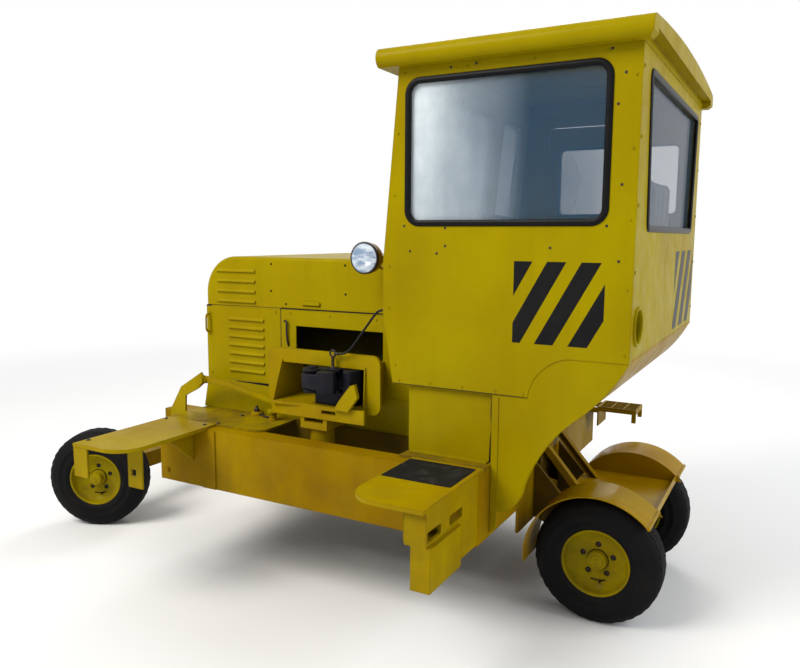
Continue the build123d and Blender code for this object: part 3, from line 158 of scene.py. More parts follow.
class Shader:
    """One node material being wired."""

    def __init__(self, name: str) -> None:
        """Start a material with a principled surface and nothing else."""
        self.material = bpy.data.materials.new(name)
        self.material.use_nodes = True
        self.tree = self.material.node_tree
        self.tree.nodes.clear()
        self.surface = self.node("ShaderNodeBsdfPrincipled")
        self.output = self.node("ShaderNodeOutputMaterial", {"Surface": self.surface.outputs[0]})
        self.place = self.node("ShaderNodeTexCoord").outputs["Object"]

    def feed(self, target: Socket, value: object) -> None:
        """Give a socket a link or a plain value."""
        if isinstance(value, Socket):
            self.tree.links.new(value, target)
        elif isinstance(value, tuple) and target.type == "RGBA":
            target.default_value = (*value, 1.0)
        else:
            target.default_value = value

    def node(self, kind: str, inputs: dict[str | int, object] | None = None,
             **settings: object) -> bpy.types.Node:
        """Add a node.

        Args:
            kind: Node type name.
            inputs: Links or plain values of its sockets, by name or number.
            **settings: Properties set on the node.

        Returns:
            The new node.
        """
        made = self.tree.nodes.new(kind)
        for key, value in settings.items():
            setattr(made, key, value)
        for key, value in (inputs or {}).items():
            self.feed(made.inputs[key], value)
        return made

    def finished(self, inputs: dict[str, object]) -> Finish:
        """Feed the surface's sockets by name, and give back the material."""
        for key, value in inputs.items():
            self.feed(self.surface.inputs[key], value)
        return self.material

    def noise(self, scale: float, detail: float = 3.0, rough: float = 0.55,
              stretch: Triple = (1.0, 1.0, 1.0)) -> Socket:
        """Noise over the object.

        Args:
            scale: Size of the pattern, per metre.
            detail: Octaves.
            rough: Strength of the finer octaves.
            stretch: Scale along each axis.

        Returns:
            The noise value, about 0.3 to 0.7.
        """
        mapping = self.node("ShaderNodeMapping", {"Vector": self.place, "Scale": stretch})
        inputs = {"Vector": mapping.outputs[0], "Scale": scale, "Detail": detail, "Roughness": rough}
        return self.node("ShaderNodeTexNoise", inputs).outputs["Fac"]

    def remap(self, value: Socket, low: float, high: float, start: float = 0.0, end: float = 1.0) -> Socket:
        """Map low to start and high to end, clamped between them."""
        inputs = {"Value": value, "From Min": low, "From Max": high, "To Min": start, "To Max": end}
        return self.node("ShaderNodeMapRange", inputs).outputs[0]

    def reckon(self, operation: str, a: object, b: object) -> Socket:
        """One step of arithmetic on two values, clamped to 0 to 1."""
        return self.node("ShaderNodeMath", {0: a, 1: b}, operation=operation, use_clamp=True).outputs[0]

    def plus(self, a: object, b: object) -> Socket:
        """Two values added, clamped to 0 to 1."""
        return self.reckon("ADD", a, b)

    def times(self, product: object, *others: object) -> Socket:
        """Values multiplied in turn, clamped to 0 to 1."""
        for other in others:
            product = self.reckon("MULTIPLY", product, other)
        return product

    def mix(self, share: object, a: object, b: object) -> Socket:
        """Colour that goes from a to b by a share."""
        return self.node("ShaderNodeMix", {0: share, 6: a, 7: b}, data_type="RGBA").outputs[2]

    def along(self, axis: str) -> Socket:
        """Place along the X, Y or Z axis, in metres."""
        return self.node("ShaderNodeSeparateXYZ", {0: self.place}).outputs[axis]

    def soft_edges(self, radius: float) -> Socket:
        """Normal that rounds sharp edges over a radius."""
        return self.node("ShaderNodeBevel", {"Radius": radius}, samples=4).outputs[0]

    def edges(self, radius: float) -> Socket:
        """Mask that is high along edges, as far as a radius in metres from them."""
        true_normal = self.node("ShaderNodeNewGeometry").outputs["Normal"]
        inputs = {0: self.soft_edges(radius), 1: true_normal}
        dot = self.node("ShaderNodeVectorMath", inputs, operation="DOT_PRODUCT")
        return self.remap(dot.outputs["Value"], 0.98, 0.80)

    def bump(self, height: Socket, distance: float, below: Socket | None = None) -> Socket:
        """Bump on the surface.

        Args:
            height: Height pattern.
            distance: Height in metres where the pattern is 1.
            below: Normal that the bump is added to.

        Returns:
            The new normal.
        """
        inputs = {"Strength": 1.0, "Distance": distance, "Height": height}
        if below is not None:
            inputs["Normal"] = below
        return self.node("ShaderNodeBump", inputs).outputs[0]


@dataclass(frozen=True)
class Paint:
    """Weathered gloss paint on sheet steel."""

    name: str
    colour: RGB = (0.318, 0.246, LEAST_BLUE)
    shade: RGB = (0.272, 0.192, LEAST_BLUE)
    grime: float = 0.32
    grime_top: float = 0.9
    rust: float = 0.42
    roughness: float = 0.30
    dents: float = 0.0022
    edge: float = 0.003
    gloss: float = 0.035

    def make(self) -> Finish:
        """Wire the paint: fading, runs, grime low down, rust along edges, dents and orange peel."""
        s = Shader(self.name)
        fade = s.remap(s.noise(1.6, 4), 0.35, 0.68)
        runs = s.remap(s.noise(9.0, 3, 0.6, (1.0, 1.0, 0.12)), 0.46, 0.72)
        smear = s.remap(s.noise(6.0, 6, 0.62), 0.38, 0.70)
        low_down = s.remap(s.along("Z"), self.grime_top, 0.10)
        dirt = s.times(smear, s.plus(low_down, 0.22), self.grime)
        seep = s.remap(s.edges(self.edge * 5), 0.15, 0.7)
        chips = s.remap(s.noise(55.0, 4, 0.7), 0.50, 0.62)
        spots = s.remap(s.noise(38.0, 5, 0.7), 0.60, 0.72)
        rusty = s.plus(s.times(s.edges(self.edge), chips, self.rust), s.times(spots, smear, 0.35 * self.rust))
        colour = s.mix(fade, self.colour, self.shade)
        colour = s.mix(s.times(runs, 0.20), colour, tuple(0.72 * c for c in self.shade))
        colour = s.mix(dirt, colour, GRIME)
        colour = s.mix(s.times(seep, smear, 0.9 * self.grime), colour, SEEPING)
        rust_colour = s.mix(s.remap(s.noise(90.0, 3), 0.4, 0.6), DARK_RUST, PALE_RUST)
        rough = s.remap(s.noise(11.0, 4), 0.3, 0.7, self.roughness - 0.07, self.roughness + 0.12)
        normal = s.bump(s.noise(2.6, 2), self.dents * 6, s.soft_edges(self.edge * 0.8))
        normal = s.bump(s.noise(420.0, 2), 0.00010, normal)
        return s.finished({
            "Base Color": s.mix(rusty, colour, rust_colour),
            "Roughness": s.plus(rough, s.times(s.plus(rusty, dirt), 0.45)),
            "Specular IOR Level": 0.01,
            "Coat Weight": self.gloss,
            "Coat Roughness": 0.10,
            "Normal": s.bump(rusty, -0.0006, normal)})


@dataclass(frozen=True)
class Rubber:
    """Aged tyre or gasket rubber with dust."""

    name: str
    colour: RGB = (0.012, 0.012, 0.013)
    dust: RGB = (0.075, 0.062, 0.045)
    dusty: float = 0.5
    roughness: float = 0.62
    grain: float = 0.0004

    def make(self) -> Finish:
        """Wire the rubber: dust in patches, a fine grain."""
        s = Shader(self.name)
        patch = s.remap(s.noise(7.0, 6, 0.65), 0.42, 0.72)
        fine = s.remap(s.noise(120.0, 3), 0.35, 0.65)
        share = s.times(patch, s.plus(fine, 0.35), self.dusty)
        return s.finished({
            "Base Color": s.mix(share, self.colour, self.dust),
            "Roughness": s.plus(s.times(share, 0.3), self.roughness),
            "Specular IOR Level": 0.09,
            "Normal": s.bump(s.noise(260.0, 3), self.grain, s.soft_edges(0.001))})


@dataclass(frozen=True)
class Iron:
    """Dark bare or greasy iron with patches of rust."""

    name: str
    colour: RGB = (0.030, 0.031, 0.034)
    rust: RGB = (0.105, 0.052, 0.024)
    rusty: float = 0.5
    metal: float = 0.6
    roughness: float = 0.42

    def make(self) -> Finish:
        """Wire the iron: casting grain, rust patches, greasy sheen."""
        s = Shader(self.name)
        share = s.times(s.remap(s.noise(13.0, 6, 0.66), 0.44, 0.66), self.rusty)
        normal = s.bump(s.noise(45.0, 5, 0.65), 0.0016, s.soft_edges(0.003))
        return s.finished({
            "Base Color": s.mix(share, self.colour, self.rust),
            "Roughness": s.plus(s.times(share, 0.5), self.roughness),
            "Metallic": self.metal,
            "Specular IOR Level": 0.12,
            "Normal": s.bump(s.noise(300.0, 3), 0.0003, normal)})


@dataclass(frozen=True)
class Pane:
    """Window glass: bluish and dark, with a bright film towards the hood that is dust haze and painted
    reflection of the sky.
    """

    name: str
    tint: RGB = (0.026, 0.095, 0.185)
    # Colour of the dust haze and painted reflection of the sky
    film: RGB = (0.90, 0.98, 1.00)
    dark: float = 0.27
    bright: float = 0.90
    start: float = 0.72
    end: float = 1.16

    def make(self) -> Finish:
        """Wire the glass: see-through and glossy, its haze and painted reflection in patches that thin out
        along X.
        """
        s = Shader(self.name)
        # Dust haze and painted reflection of the sky: pale and less see-through towards the hood, in patches.
        thinning = s.remap(s.along("X"), self.start, self.end, 1.0, 0.0)
        patch = s.remap(s.noise(1.9, 5, 0.6), 0.35, 0.70)
        wiped = s.remap(s.noise(5.0, 4, 0.55, (1.0, 1.0, 0.35)), 0.40, 0.66)
        streak = s.plus(s.times(patch, 0.30), s.times(wiped, 0.16))
        film = s.times(thinning, s.plus(streak, 0.50))
        return s.finished({
            "Base Color": s.mix(film, self.tint, self.film),
            "Alpha": s.remap(film, 0.0, 1.0, self.dark, self.bright),
            "Roughness": 0.03,
            "Specular IOR Level": 0.55})


@dataclass(frozen=True)
class Lens:
    """Pressed lamp glass over its reflector, its bluish bands painted reflection of the sky."""

    name: str
    # Colours of the painted reflection of the sky
    deep: RGB = (0.22, 0.34, 0.52)
    pale: RGB = (0.72, 0.80, 0.86)

    def make(self) -> Finish:
        """Wire the lens: level bands of blue and pale painted sky reflection, glossy and part see-through."""
        s = Shader(self.name)
        # Painted reflection of the sky: level bands of blue and pale.
        sky_reflection_bands = s.remap(s.noise(16.0, 4, 0.6, (1.0, 1.0, 3.2)), 0.38, 0.62)
        return s.finished({
            "Base Color": s.mix(sky_reflection_bands, self.deep, self.pale),
            "Alpha": s.remap(sky_reflection_bands, 0.0, 1.0, 0.62, 0.82),
            "Roughness": 0.06,
            "Specular IOR Level": 0.8})


@dataclass(frozen=True)
class Chrome:
    """Bright plated metal, a little dulled."""

    name: str
    colour: RGB = (0.72, 0.73, 0.74)
    dulled: RGB = (0.42, 0.40, 0.37)
    roughness: float = 0.16

    def make(self) -> Finish:
        """Wire the plating: smears and fine pitting."""
        s = Shader(self.name)
        smear = s.remap(s.noise(35.0, 5, 0.6), 0.35, 0.7)
        return s.finished({
            "Base Color": s.mix(s.times(smear, 0.4), self.colour, self.dulled),
            "Roughness": s.remap(smear, 0.0, 1.0, self.roughness, self.roughness + 0.2),
            "Metallic": 1.0,
            "Normal": s.bump(s.noise(400.0, 3), 0.00008)})


@dataclass(frozen=True)
class Vinyl:
    """Cracked black seat vinyl with a pebbled grain."""

    name: str
    colour: RGB = (0.022, 0.021, 0.022)
    worn: RGB = (0.075, 0.066, 0.055)

    def make(self) -> Finish:
        """Wire the vinyl: pebble grain, worn crowns."""
        s = Shader(self.name)
        pebbles = s.node("ShaderNodeTexVoronoi", {"Scale": 420.0, "Vector": s.place}).outputs["Distance"]
        patch = s.remap(s.noise(8.0, 4), 0.45, 0.7)
        return s.finished({
            "Base Color": s.mix(s.times(patch, 0.5), self.colour, self.worn),
            "Roughness": 0.5,
            "Normal": s.bump(pebbles, 0.0005)})


@dataclass(frozen=True)
class Grit:
    """Black anti-slip sheet with mineral grit."""

    name: str
    colour: RGB = (0.0045, 0.0048, 0.0055)
    worn: RGB = (0.060, 0.058, 0.052)

    def make(self) -> Finish:
        """Wire the grit: sparkle, scuffs and a coarse bump."""
        s = Shader(self.name)
        grain = s.noise(900.0, 2)
        scuff = s.remap(s.noise(14.0, 6, 0.7), 0.50, 0.74)
        return s.finished({
            "Base Color": s.mix(s.times(scuff, s.remap(grain, 0.4, 0.6)), self.colour, self.worn),
            "Roughness": 0.7,
            "Specular IOR Level": 0.15,
            "Normal": s.bump(grain, 0.0008)})


class Finishes:
    """Every material of the vehicle."""

    def __init__(self) -> None:
        """Make each material once."""
        self.body = Paint("body_paint").make()
        # Frame paint: a darker, more orange copy of the body yellow, partly painted shade of the low frame.
        self.frame = Paint("frame_paint", (0.300, 0.190, LEAST_BLUE), (0.215, 0.115, LEAST_BLUE), grime=0.42,
                           grime_top=0.80, rust=0.8, dents=0.0014, gloss=0.03).make()
        self.deck = Paint("deck_paint", (0.300, 0.215, LEAST_BLUE), (0.235, 0.145, LEAST_BLUE), grime=0.95,
                          grime_top=1.6, rust=1.1, roughness=0.32, dents=0.0016, gloss=0.05).make()
        self.step = Paint("step_paint", (0.330, 0.245, LEAST_BLUE), (0.265, 0.160, LEAST_BLUE), grime=0.45,
                          grime_top=0.85, rust=1.0, dents=0.0014, gloss=0.05).make()
        self.wing = Paint("wing_paint", (0.400, 0.262, LEAST_BLUE), (0.300, 0.160, LEAST_BLUE), grime=0.22,
                          grime_top=0.45, rust=0.7, roughness=0.20, dents=0.0010, gloss=0.09).make()
        # Under paint: dark brown that is painted shade under the vehicle, with grime.
        self.under = Paint("under_paint", (0.15, 0.092, 0.004), (0.085, 0.050, 0.004), grime=0.8,
                           grime_top=1.3, rust=1.0, roughness=0.5, dents=0.0010).make()
        # Bay paint: dirty olive yellow darkened into painted shade, for the engine in its bay and the parts
        # inside the cab.
        self.bay = Paint("bay_paint", (0.115, 0.098, 0.008), (0.060, 0.050, 0.008), grime=0.7,
                         grime_top=1.6, rust=0.5, roughness=0.5, dents=0.0010).make()
        self.wheel = Paint("wheel_paint", (0.33, 0.262, LEAST_BLUE), (0.22, 0.155, LEAST_BLUE), grime=0.6,
                           grime_top=0.45, rust=0.8, roughness=0.32, dents=0.0003, edge=0.002).make()
        self.tyre = Rubber("tyre_rubber", (0.0032, 0.0032, 0.0036), (0.018, 0.015, 0.012), 0.35).make()
        self.gasket = Rubber("gasket_rubber", (0.004, 0.004, 0.0045), dusty=0.06, roughness=0.36,
                             grain=0.0001).make()
        self.black = Rubber("black_paint", (0.006, 0.006, 0.0065), dusty=0.08, roughness=0.38,
                            grain=0.00004).make()
        self.cable = Rubber("cable_sheath", dusty=0.2, roughness=0.45, grain=0.0001).make()
        self.iron = Iron("cast_iron").make()
        self.grease = Iron("greasy_iron", (0.0045, 0.006, 0.011), rusty=0.08, metal=0.15).make()
        self.rail_steel = Iron("rail_steel", (0.10, 0.095, 0.09), rusty=0.8, metal=0.7, roughness=0.45).make()
        self.pane = Pane("window_glass").make()
        self.lens = Lens("lamp_glass").make()
        self.chrome = Chrome("lamp_chrome").make()
        self.vinyl = Vinyl("seat_vinyl").make()
        self.grit = Grit("anti_slip").make()


# Outlines

def circle(radius: float, count: int, middle: Spot = (0.0, 0.0), start: float = 0.0) -> list[Spot]:
    """Points evenly round a circle, from a start angle in degrees."""
    angles = (math.radians(start + 360 * i / count) for i in range(count))
    return [(middle[0] + radius * math.cos(a), middle[1] + radius * math.sin(a)) for a in angles]


def round_bar(reach: float, radius: float, count: int) -> list[Spot]:
    """Closed profile of a round bar that is turned into a ring."""
    bar = circle(radius, count, (reach, 0.0))
    return [*bar, bar[0]]


def rounded_loop(x0: float, x1: float, z0: float, z1: float, radius: float, steps: int = 8) -> list[Spot]:
    """Points round a rounded rectangle, corner by corner."""
    corners = ((x1 - radius, z1 - radius, 0), (x0 + radius, z1 - radius, 90),
               (x0 + radius, z0 + radius, 180), (x1 - radius, z0 + radius, 270))
    return [(cx + radius * math.cos(math.radians(start + 90 * i / steps)),
             cz + radius * math.sin(math.radians(start + 90 * i / steps)))
            for cx, cz, start in corners for i in range(steps + 1)]


def rounded_corners(corners: Outline, radius: float, steps: int = 8) -> list[Spot]:
    """Points round any convex outline with its corners rounded.

    Args:
        corners: The sharp corners, anticlockwise.
        radius: Radius of each corner.
        steps: Points along each corner's arc.

    Returns:
        The rounded outline.
    """
    made: list[Spot] = []
    for i, here in enumerate(corners):
        corner = Vector(here)
        a = (Vector(corners[i - 1]) - corner).normalized()
        b = (Vector(corners[(i + 1) % len(corners)]) - corner).normalized()
        half = a.angle(b) / 2
        middle = corner + (a + b).normalized() * radius / math.sin(half)
        start = corner + a * radius / math.tan(half) - middle
        end = corner + b * radius / math.tan(half) - middle
        turn = start.angle_signed(end)
        for k in range(steps + 1):
            spot = middle + Matrix.Rotation(-turn * k / steps, 2) @ start
            made.append((spot.x, spot.y))
    return made


def clip_band(loop: Outline, low: float, high: float) -> list[Spot]:
    """Cut a convex outline to a band of its first coordinate.

    Args:
        loop: Outline points.
        low: Least first coordinate kept.
        high: Greatest first coordinate kept.

    Returns:
        The outline that is left, with no points where nothing is.
    """
    for limit, sign in ((low, 1), (high, -1)):
        kept: list[Spot] = []
        for i, (u, v) in enumerate(loop):
            last_u, last_v = loop[i - 1]
            here, before = sign * (u - limit) >= 0, sign * (last_u - limit) >= 0
            if here != before:
                kept.append((limit, last_v + (limit - last_u) / (u - last_u) * (v - last_v)))
            if here:
                kept.append((u, v))
        loop = kept
    return list(loop)


# Meshes

def linked(name: str, data: bpy.types.ID) -> Piece:
    """A new object at the origin, in the scene."""
    made = bpy.data.objects.new(name, data)
    bpy.context.scene.collection.objects.link(made)
    return made


def solid(name: str, points: Iterable[Sequence[float]], faces: Iterable[Sequence[int]],
          finish: Finish) -> Piece:
    """A mesh object at the origin, shaded smooth but for its sharp edges.

    Args:
        name: Object name.
        points: Corner points in scene metres.
        faces: Corner indexes of each face.
        finish: Its one material.

    Returns:
        The new object.
    """
    mesh = bpy.data.meshes.new(name)
    mesh.from_pydata([tuple(p) for p in points], [], [tuple(f) for f in faces])
    mesh.materials.append(finish)
    build = bmesh.new()
    build.from_mesh(mesh)
    bmesh.ops.remove_doubles(build, verts=build.verts, dist=1e-6)
    bmesh.ops.recalc_face_normals(build, faces=build.faces)
    build.to_mesh(mesh)
    build.free()
    mesh.shade_smooth()
    mesh.set_sharp_from_angle(angle=SHARP_FROM)
    return linked(name, mesh)


def grid_faces(rows: int, count: int, closed: bool) -> list[tuple[int, ...]]:
    """Faces between rows of points that go once round.

    Args:
        rows: Number of rows, the last joined to the first.
        count: Points in each row.
        closed: Join the last point of a row to its first.

    Returns:
        Corner indexes of each face.
    """
    wide = count if closed else count - 1
    return [(i * count + j, (i + 1) % rows * count + j, (i + 1) % rows * count + (j + 1) % count,
             i * count + (j + 1) % count) for i in range(rows) for j in range(wide)]


def turning(centre: Vector, axis: Vector) -> Matrix:
    """Takes millimetres from a centre, with height along +Z, to the scene with height along an axis."""
    turn = UP.rotation_difference(axis.normalized()).to_matrix().to_4x4()
    return Matrix.Translation(centre) @ turn @ Matrix.Scale(0.001, 4)


def lathe(name: str, profile: Outline, centre: Vector, axis: Vector, finish: Finish,
          steps: int = 48) -> Piece:
    """A turned piece.

    Args:
        name: Object name.
        profile: Radius and height along the axis of each point, in millimetres.
        centre: Where height is zero.
        axis: Direction of height.
        finish: Its material.
        steps: Points round the turn.

    Returns:
        The closed turned mesh.
    """
    place = turning(centre, axis)
    points = [place @ Vector((r * math.cos(a), r * math.sin(a), h))
              for a in (2 * math.pi * i / steps for i in range(steps)) for r, h in profile]
    return solid(name, points, grid_faces(steps, len(profile), closed=False), finish)


def swept_ring(name: str, loop: Outline, plane: Plane, section: Outline, finish: Finish) -> Piece:
    """A closed strip that follows a flat loop.

    Args:
        name: Object name.
        loop: Points round the loop, anticlockwise, in millimetres.
        plane: Scene point of a loop point and a height off its plane.
        section: Closed section as (outward, height) pairs in millimetres.
        finish: Its material.

    Returns:
        The strip's mesh object.
    """
    points = []
    for i, (u, v) in enumerate(loop):
        along = (Vector(loop[(i + 1) % len(loop)]) - Vector(loop[i - 1])).normalized()
        points += [plane(u + along.y * off, v - along.x * off, lift) for off, lift in section]
    return solid(name, points, grid_faces(len(loop), len(section), closed=True), finish)


def plates(name: str, loops: Iterable[Outline], plane: Plane, low: float, high: float,
           finish: Finish) -> Piece:
    """Flat plates with given outlines, as one mesh.

    Args:
        name: Object name.
        loops: Outline points of each plate in millimetres.
        plane: Scene point of an outline point and a height off its plane.
        low: Height of their backs.
        high: Height of their faces.
        finish: Their material.

    Returns:
        The mesh object.
    """
    points: list[Vector] = []
    faces: list[tuple[int, ...]] = []
    for loop in loops:
        start, n = len(points), len(loop)
        points += [plane(u, v, lift) for lift in (low, high) for u, v in loop]
        faces.append(tuple(range(start + n - 1, start - 1, -1)))
        faces.append(tuple(range(start + n, start + 2 * n)))
        faces += [(start + i, start + (i + 1) % n, start + n + (i + 1) % n, start + n + i) for i in range(n)]
    return solid(name, points, faces, finish)


def slab(name: str, loop: Outline, plane: Plane, low: float, high: float, finish: Finish,
         bevel: float = 0.0) -> Piece:
    """A flat plate with a given outline, its edges bevelled by a width where one is given."""
    made = plates(name, [loop], plane, low, high, finish)
    return bevelled(made, bevel) if bevel else made


def rod_curve(name: str, route: Sequence[Vector], radius: float, finish: Finish, round_steps: int,
              route_steps: int) -> Piece:
    """A bent rod as one open spline.

    Args:
        name: Object name.
        route: Scene points that steer its smooth line, the first and last on its ends.
        radius: Radius of the rod in metres.
        finish: Its material.
        round_steps: Fineness round the rod.
        route_steps: Fineness along it.

    Returns:
        The curve object.
    """
    curve = bpy.data.curves.new(name, "CURVE")
    curve.dimensions = "3D"
    curve.bevel_depth = radius
    curve.bevel_resolution = round_steps
    curve.resolution_u = route_steps
    curve.use_fill_caps = True
    spline = curve.splines.new("NURBS")
    spline.points.add(len(route) - 1)
    for point, spot in zip(spline.points, route):
        point.co = (*spot, 1.0)
    spline.order_u = 3
    spline.use_endpoint_u = True
    curve.materials.append(finish)
    return linked(name, curve)


def tube(name: str, route: Sequence[Vector], radius: float, finish: Finish) -> Piece:
    """A bent rod as a mesh, its radius in millimetres, along scene points that steer its smooth line."""
    carrier = rod_curve(name, route, radius / 1000, finish, round_steps=3, route_steps=6)
    mesh = bpy.data.meshes.new_from_object(carrier.evaluated_get(bpy.context.evaluated_depsgraph_get()))
    bpy.data.objects.remove(carrier)
    mesh.name = name
    mesh.shade_smooth()
    return linked(name, mesh)


def applied(piece: Piece) -> Piece:
    """Make a piece's evaluated shape its own mesh, with no modifiers left."""
    graph = bpy.context.evaluated_depsgraph_get()
    mesh = bpy.data.meshes.new_from_object(piece.evaluated_get(graph))
    piece.modifiers.clear()
    old = piece.data
    piece.data = mesh
    mesh.name = piece.name
    if old.users == 0:
        bpy.data.meshes.remove(old)
    return piece


def bevelled(piece: Piece, width: float) -> Piece:
    """Round a piece's sharp edges by a width in millimetres and make the result its mesh."""
    cut = piece.modifiers.new("edge", "BEVEL")
    cut.width = width / 1000
    cut.segments = 2
    cut.limit_method = "ANGLE"
    cut.angle_limit = BEVEL_FROM
    cut.harden_normals = True
    return applied(piece)


def pierced(piece: Piece, cutter: Piece) -> Piece:
    """Cut one piece by another, which is used up."""
    cut = piece.modifiers.new("holes", "BOOLEAN")
    cut.operation = "DIFFERENCE"
    cut.solver = "EXACT"
    cut.object = cutter
    applied(piece)
    bpy.data.objects.remove(cutter)
    piece.data.set_sharp_from_angle(angle=SHARP_FROM)
    return piece


def casting(name: str, lumps: Sequence[Piece], voxel: float, finish: Finish) -> Piece:
    """Melt overlapping solids into one smooth casting; the solids are used up.

    Args:
        name: Object name.
        lumps: The solids.
        voxel: Size of the grid that they are melted on, in millimetres.
        finish: Its material.

    Returns:
        The casting.
    """
    build = bmesh.new()
    for lump in lumps:
        build.from_mesh(lump.data)
        bpy.data.objects.remove(lump)
    mesh = bpy.data.meshes.new(name)
    build.to_mesh(mesh)
    build.free()
    made = linked(name, mesh)
    melt = made.modifiers.new("melt", "REMESH")
    melt.mode = "VOXEL"
    melt.voxel_size = voxel / 1000
    settle = made.modifiers.new("settle", "SMOOTH")
    settle.factor = 0.5
    settle.iterations = 4
    applied(made)
    made.data.materials.clear()
    made.data.materials.append(finish)
    made.data.shade_smooth()
    return made


def riding(pieces: list[Piece], body: str = "root") -> list[Piece]:
    """Let every piece move with one body, and give them back."""
    for piece in pieces:
        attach(piece, body)
    return pieces


# Repeats made by Geometry Nodes

class StudTree:
    """Node tree that sets a domed head on every point of a mesh, facing one way."""

    inputs: dict[str, str] = {"Geometry": "Geometry", "Radius": "Float", "Height": "Float", "Sides": "Int",
                              "Direction": "Vector", "Material": "Material"}
    crown: float = 0.72
    sunk: float = 0.3

    def __init__(self) -> None:
        """Build the tree once, with its inputs named."""
        self.tree = bpy.data.node_groups.new("studs", "GeometryNodeTree")
        face = self.tree.interface
        for name, kind in self.inputs.items():
            face.new_socket(name, in_out="INPUT", socket_type=f"NodeSocket{kind}")
        face.new_socket("Geometry", in_out="OUTPUT", socket_type="NodeSocketGeometry")
        new, join = self.tree.nodes.new, self.tree.links.new
        given = new("NodeGroupInput").outputs
        result = new("NodeGroupOutput")
        head = new("GeometryNodeMeshCone")
        slope = new("ShaderNodeMath")
        slope.operation = "MULTIPLY"
        slope.inputs[1].default_value = self.crown
        turn = new("FunctionNodeAlignRotationToVector")
        turn.axis = "Z"
        spread = new("GeometryNodeInstanceOnPoints")
        real = new("GeometryNodeRealizeInstances")
        dress = new("GeometryNodeSetMaterial")
        for source, target in (
                (given["Radius"], slope.inputs[0]),
                (given["Radius"], head.inputs["Radius Bottom"]),
                (slope.outputs[0], head.inputs["Radius Top"]),
                (given["Height"], head.inputs["Depth"]),
                (given["Sides"], head.inputs["Vertices"]),
                (given["Direction"], turn.inputs["Vector"]),
                (given["Geometry"], spread.inputs["Points"]),
                (head.outputs["Mesh"], spread.inputs["Instance"]),
                (turn.outputs["Rotation"], spread.inputs["Rotation"]),
                (spread.outputs[0], real.inputs[0]),
                (real.outputs[0], dress.inputs["Geometry"]),
                (given["Material"], dress.inputs["Material"]),
                (dress.outputs[0], result.inputs[0])):
            join(source, target)
        self.sockets = {i.name: i.identifier for i in face.items_tree if i.in_out == "INPUT"}

    def set(self, name: str, spots: Iterable[Vector], facing: Vector, radius: float, height: float,
            finish: Finish, sides: int = 12) -> Piece:
        """Set heads on the given spots.

        Args:
            name: Object name.
            spots: Scene points on the surface.
            facing: Direction that the heads face.
            radius: Radius of a head at its foot, in millimetres.
            height: Height of a head, in millimetres.
            finish: Material of the heads.
            sides: Sides of a head: 6 for a hexagon bolt.

        Returns:
            One mesh object with every head.
        """
        mesh = bpy.data.meshes.new(name)
        mesh.from_pydata([tuple(spot - facing * self.sunk / 1000) for spot in spots], [], [])
        made = linked(name, mesh)
        modifier = made.modifiers.new("studs", "NODES")
        modifier.node_group = self.tree
        values = {"Radius": radius / 1000, "Height": height / 1000, "Sides": sides,
                  "Direction": tuple(facing), "Material": finish}
        for key, value in values.items():
            modifier[self.sockets[key]] = value
        return applied(made)


# Sub-assemblies

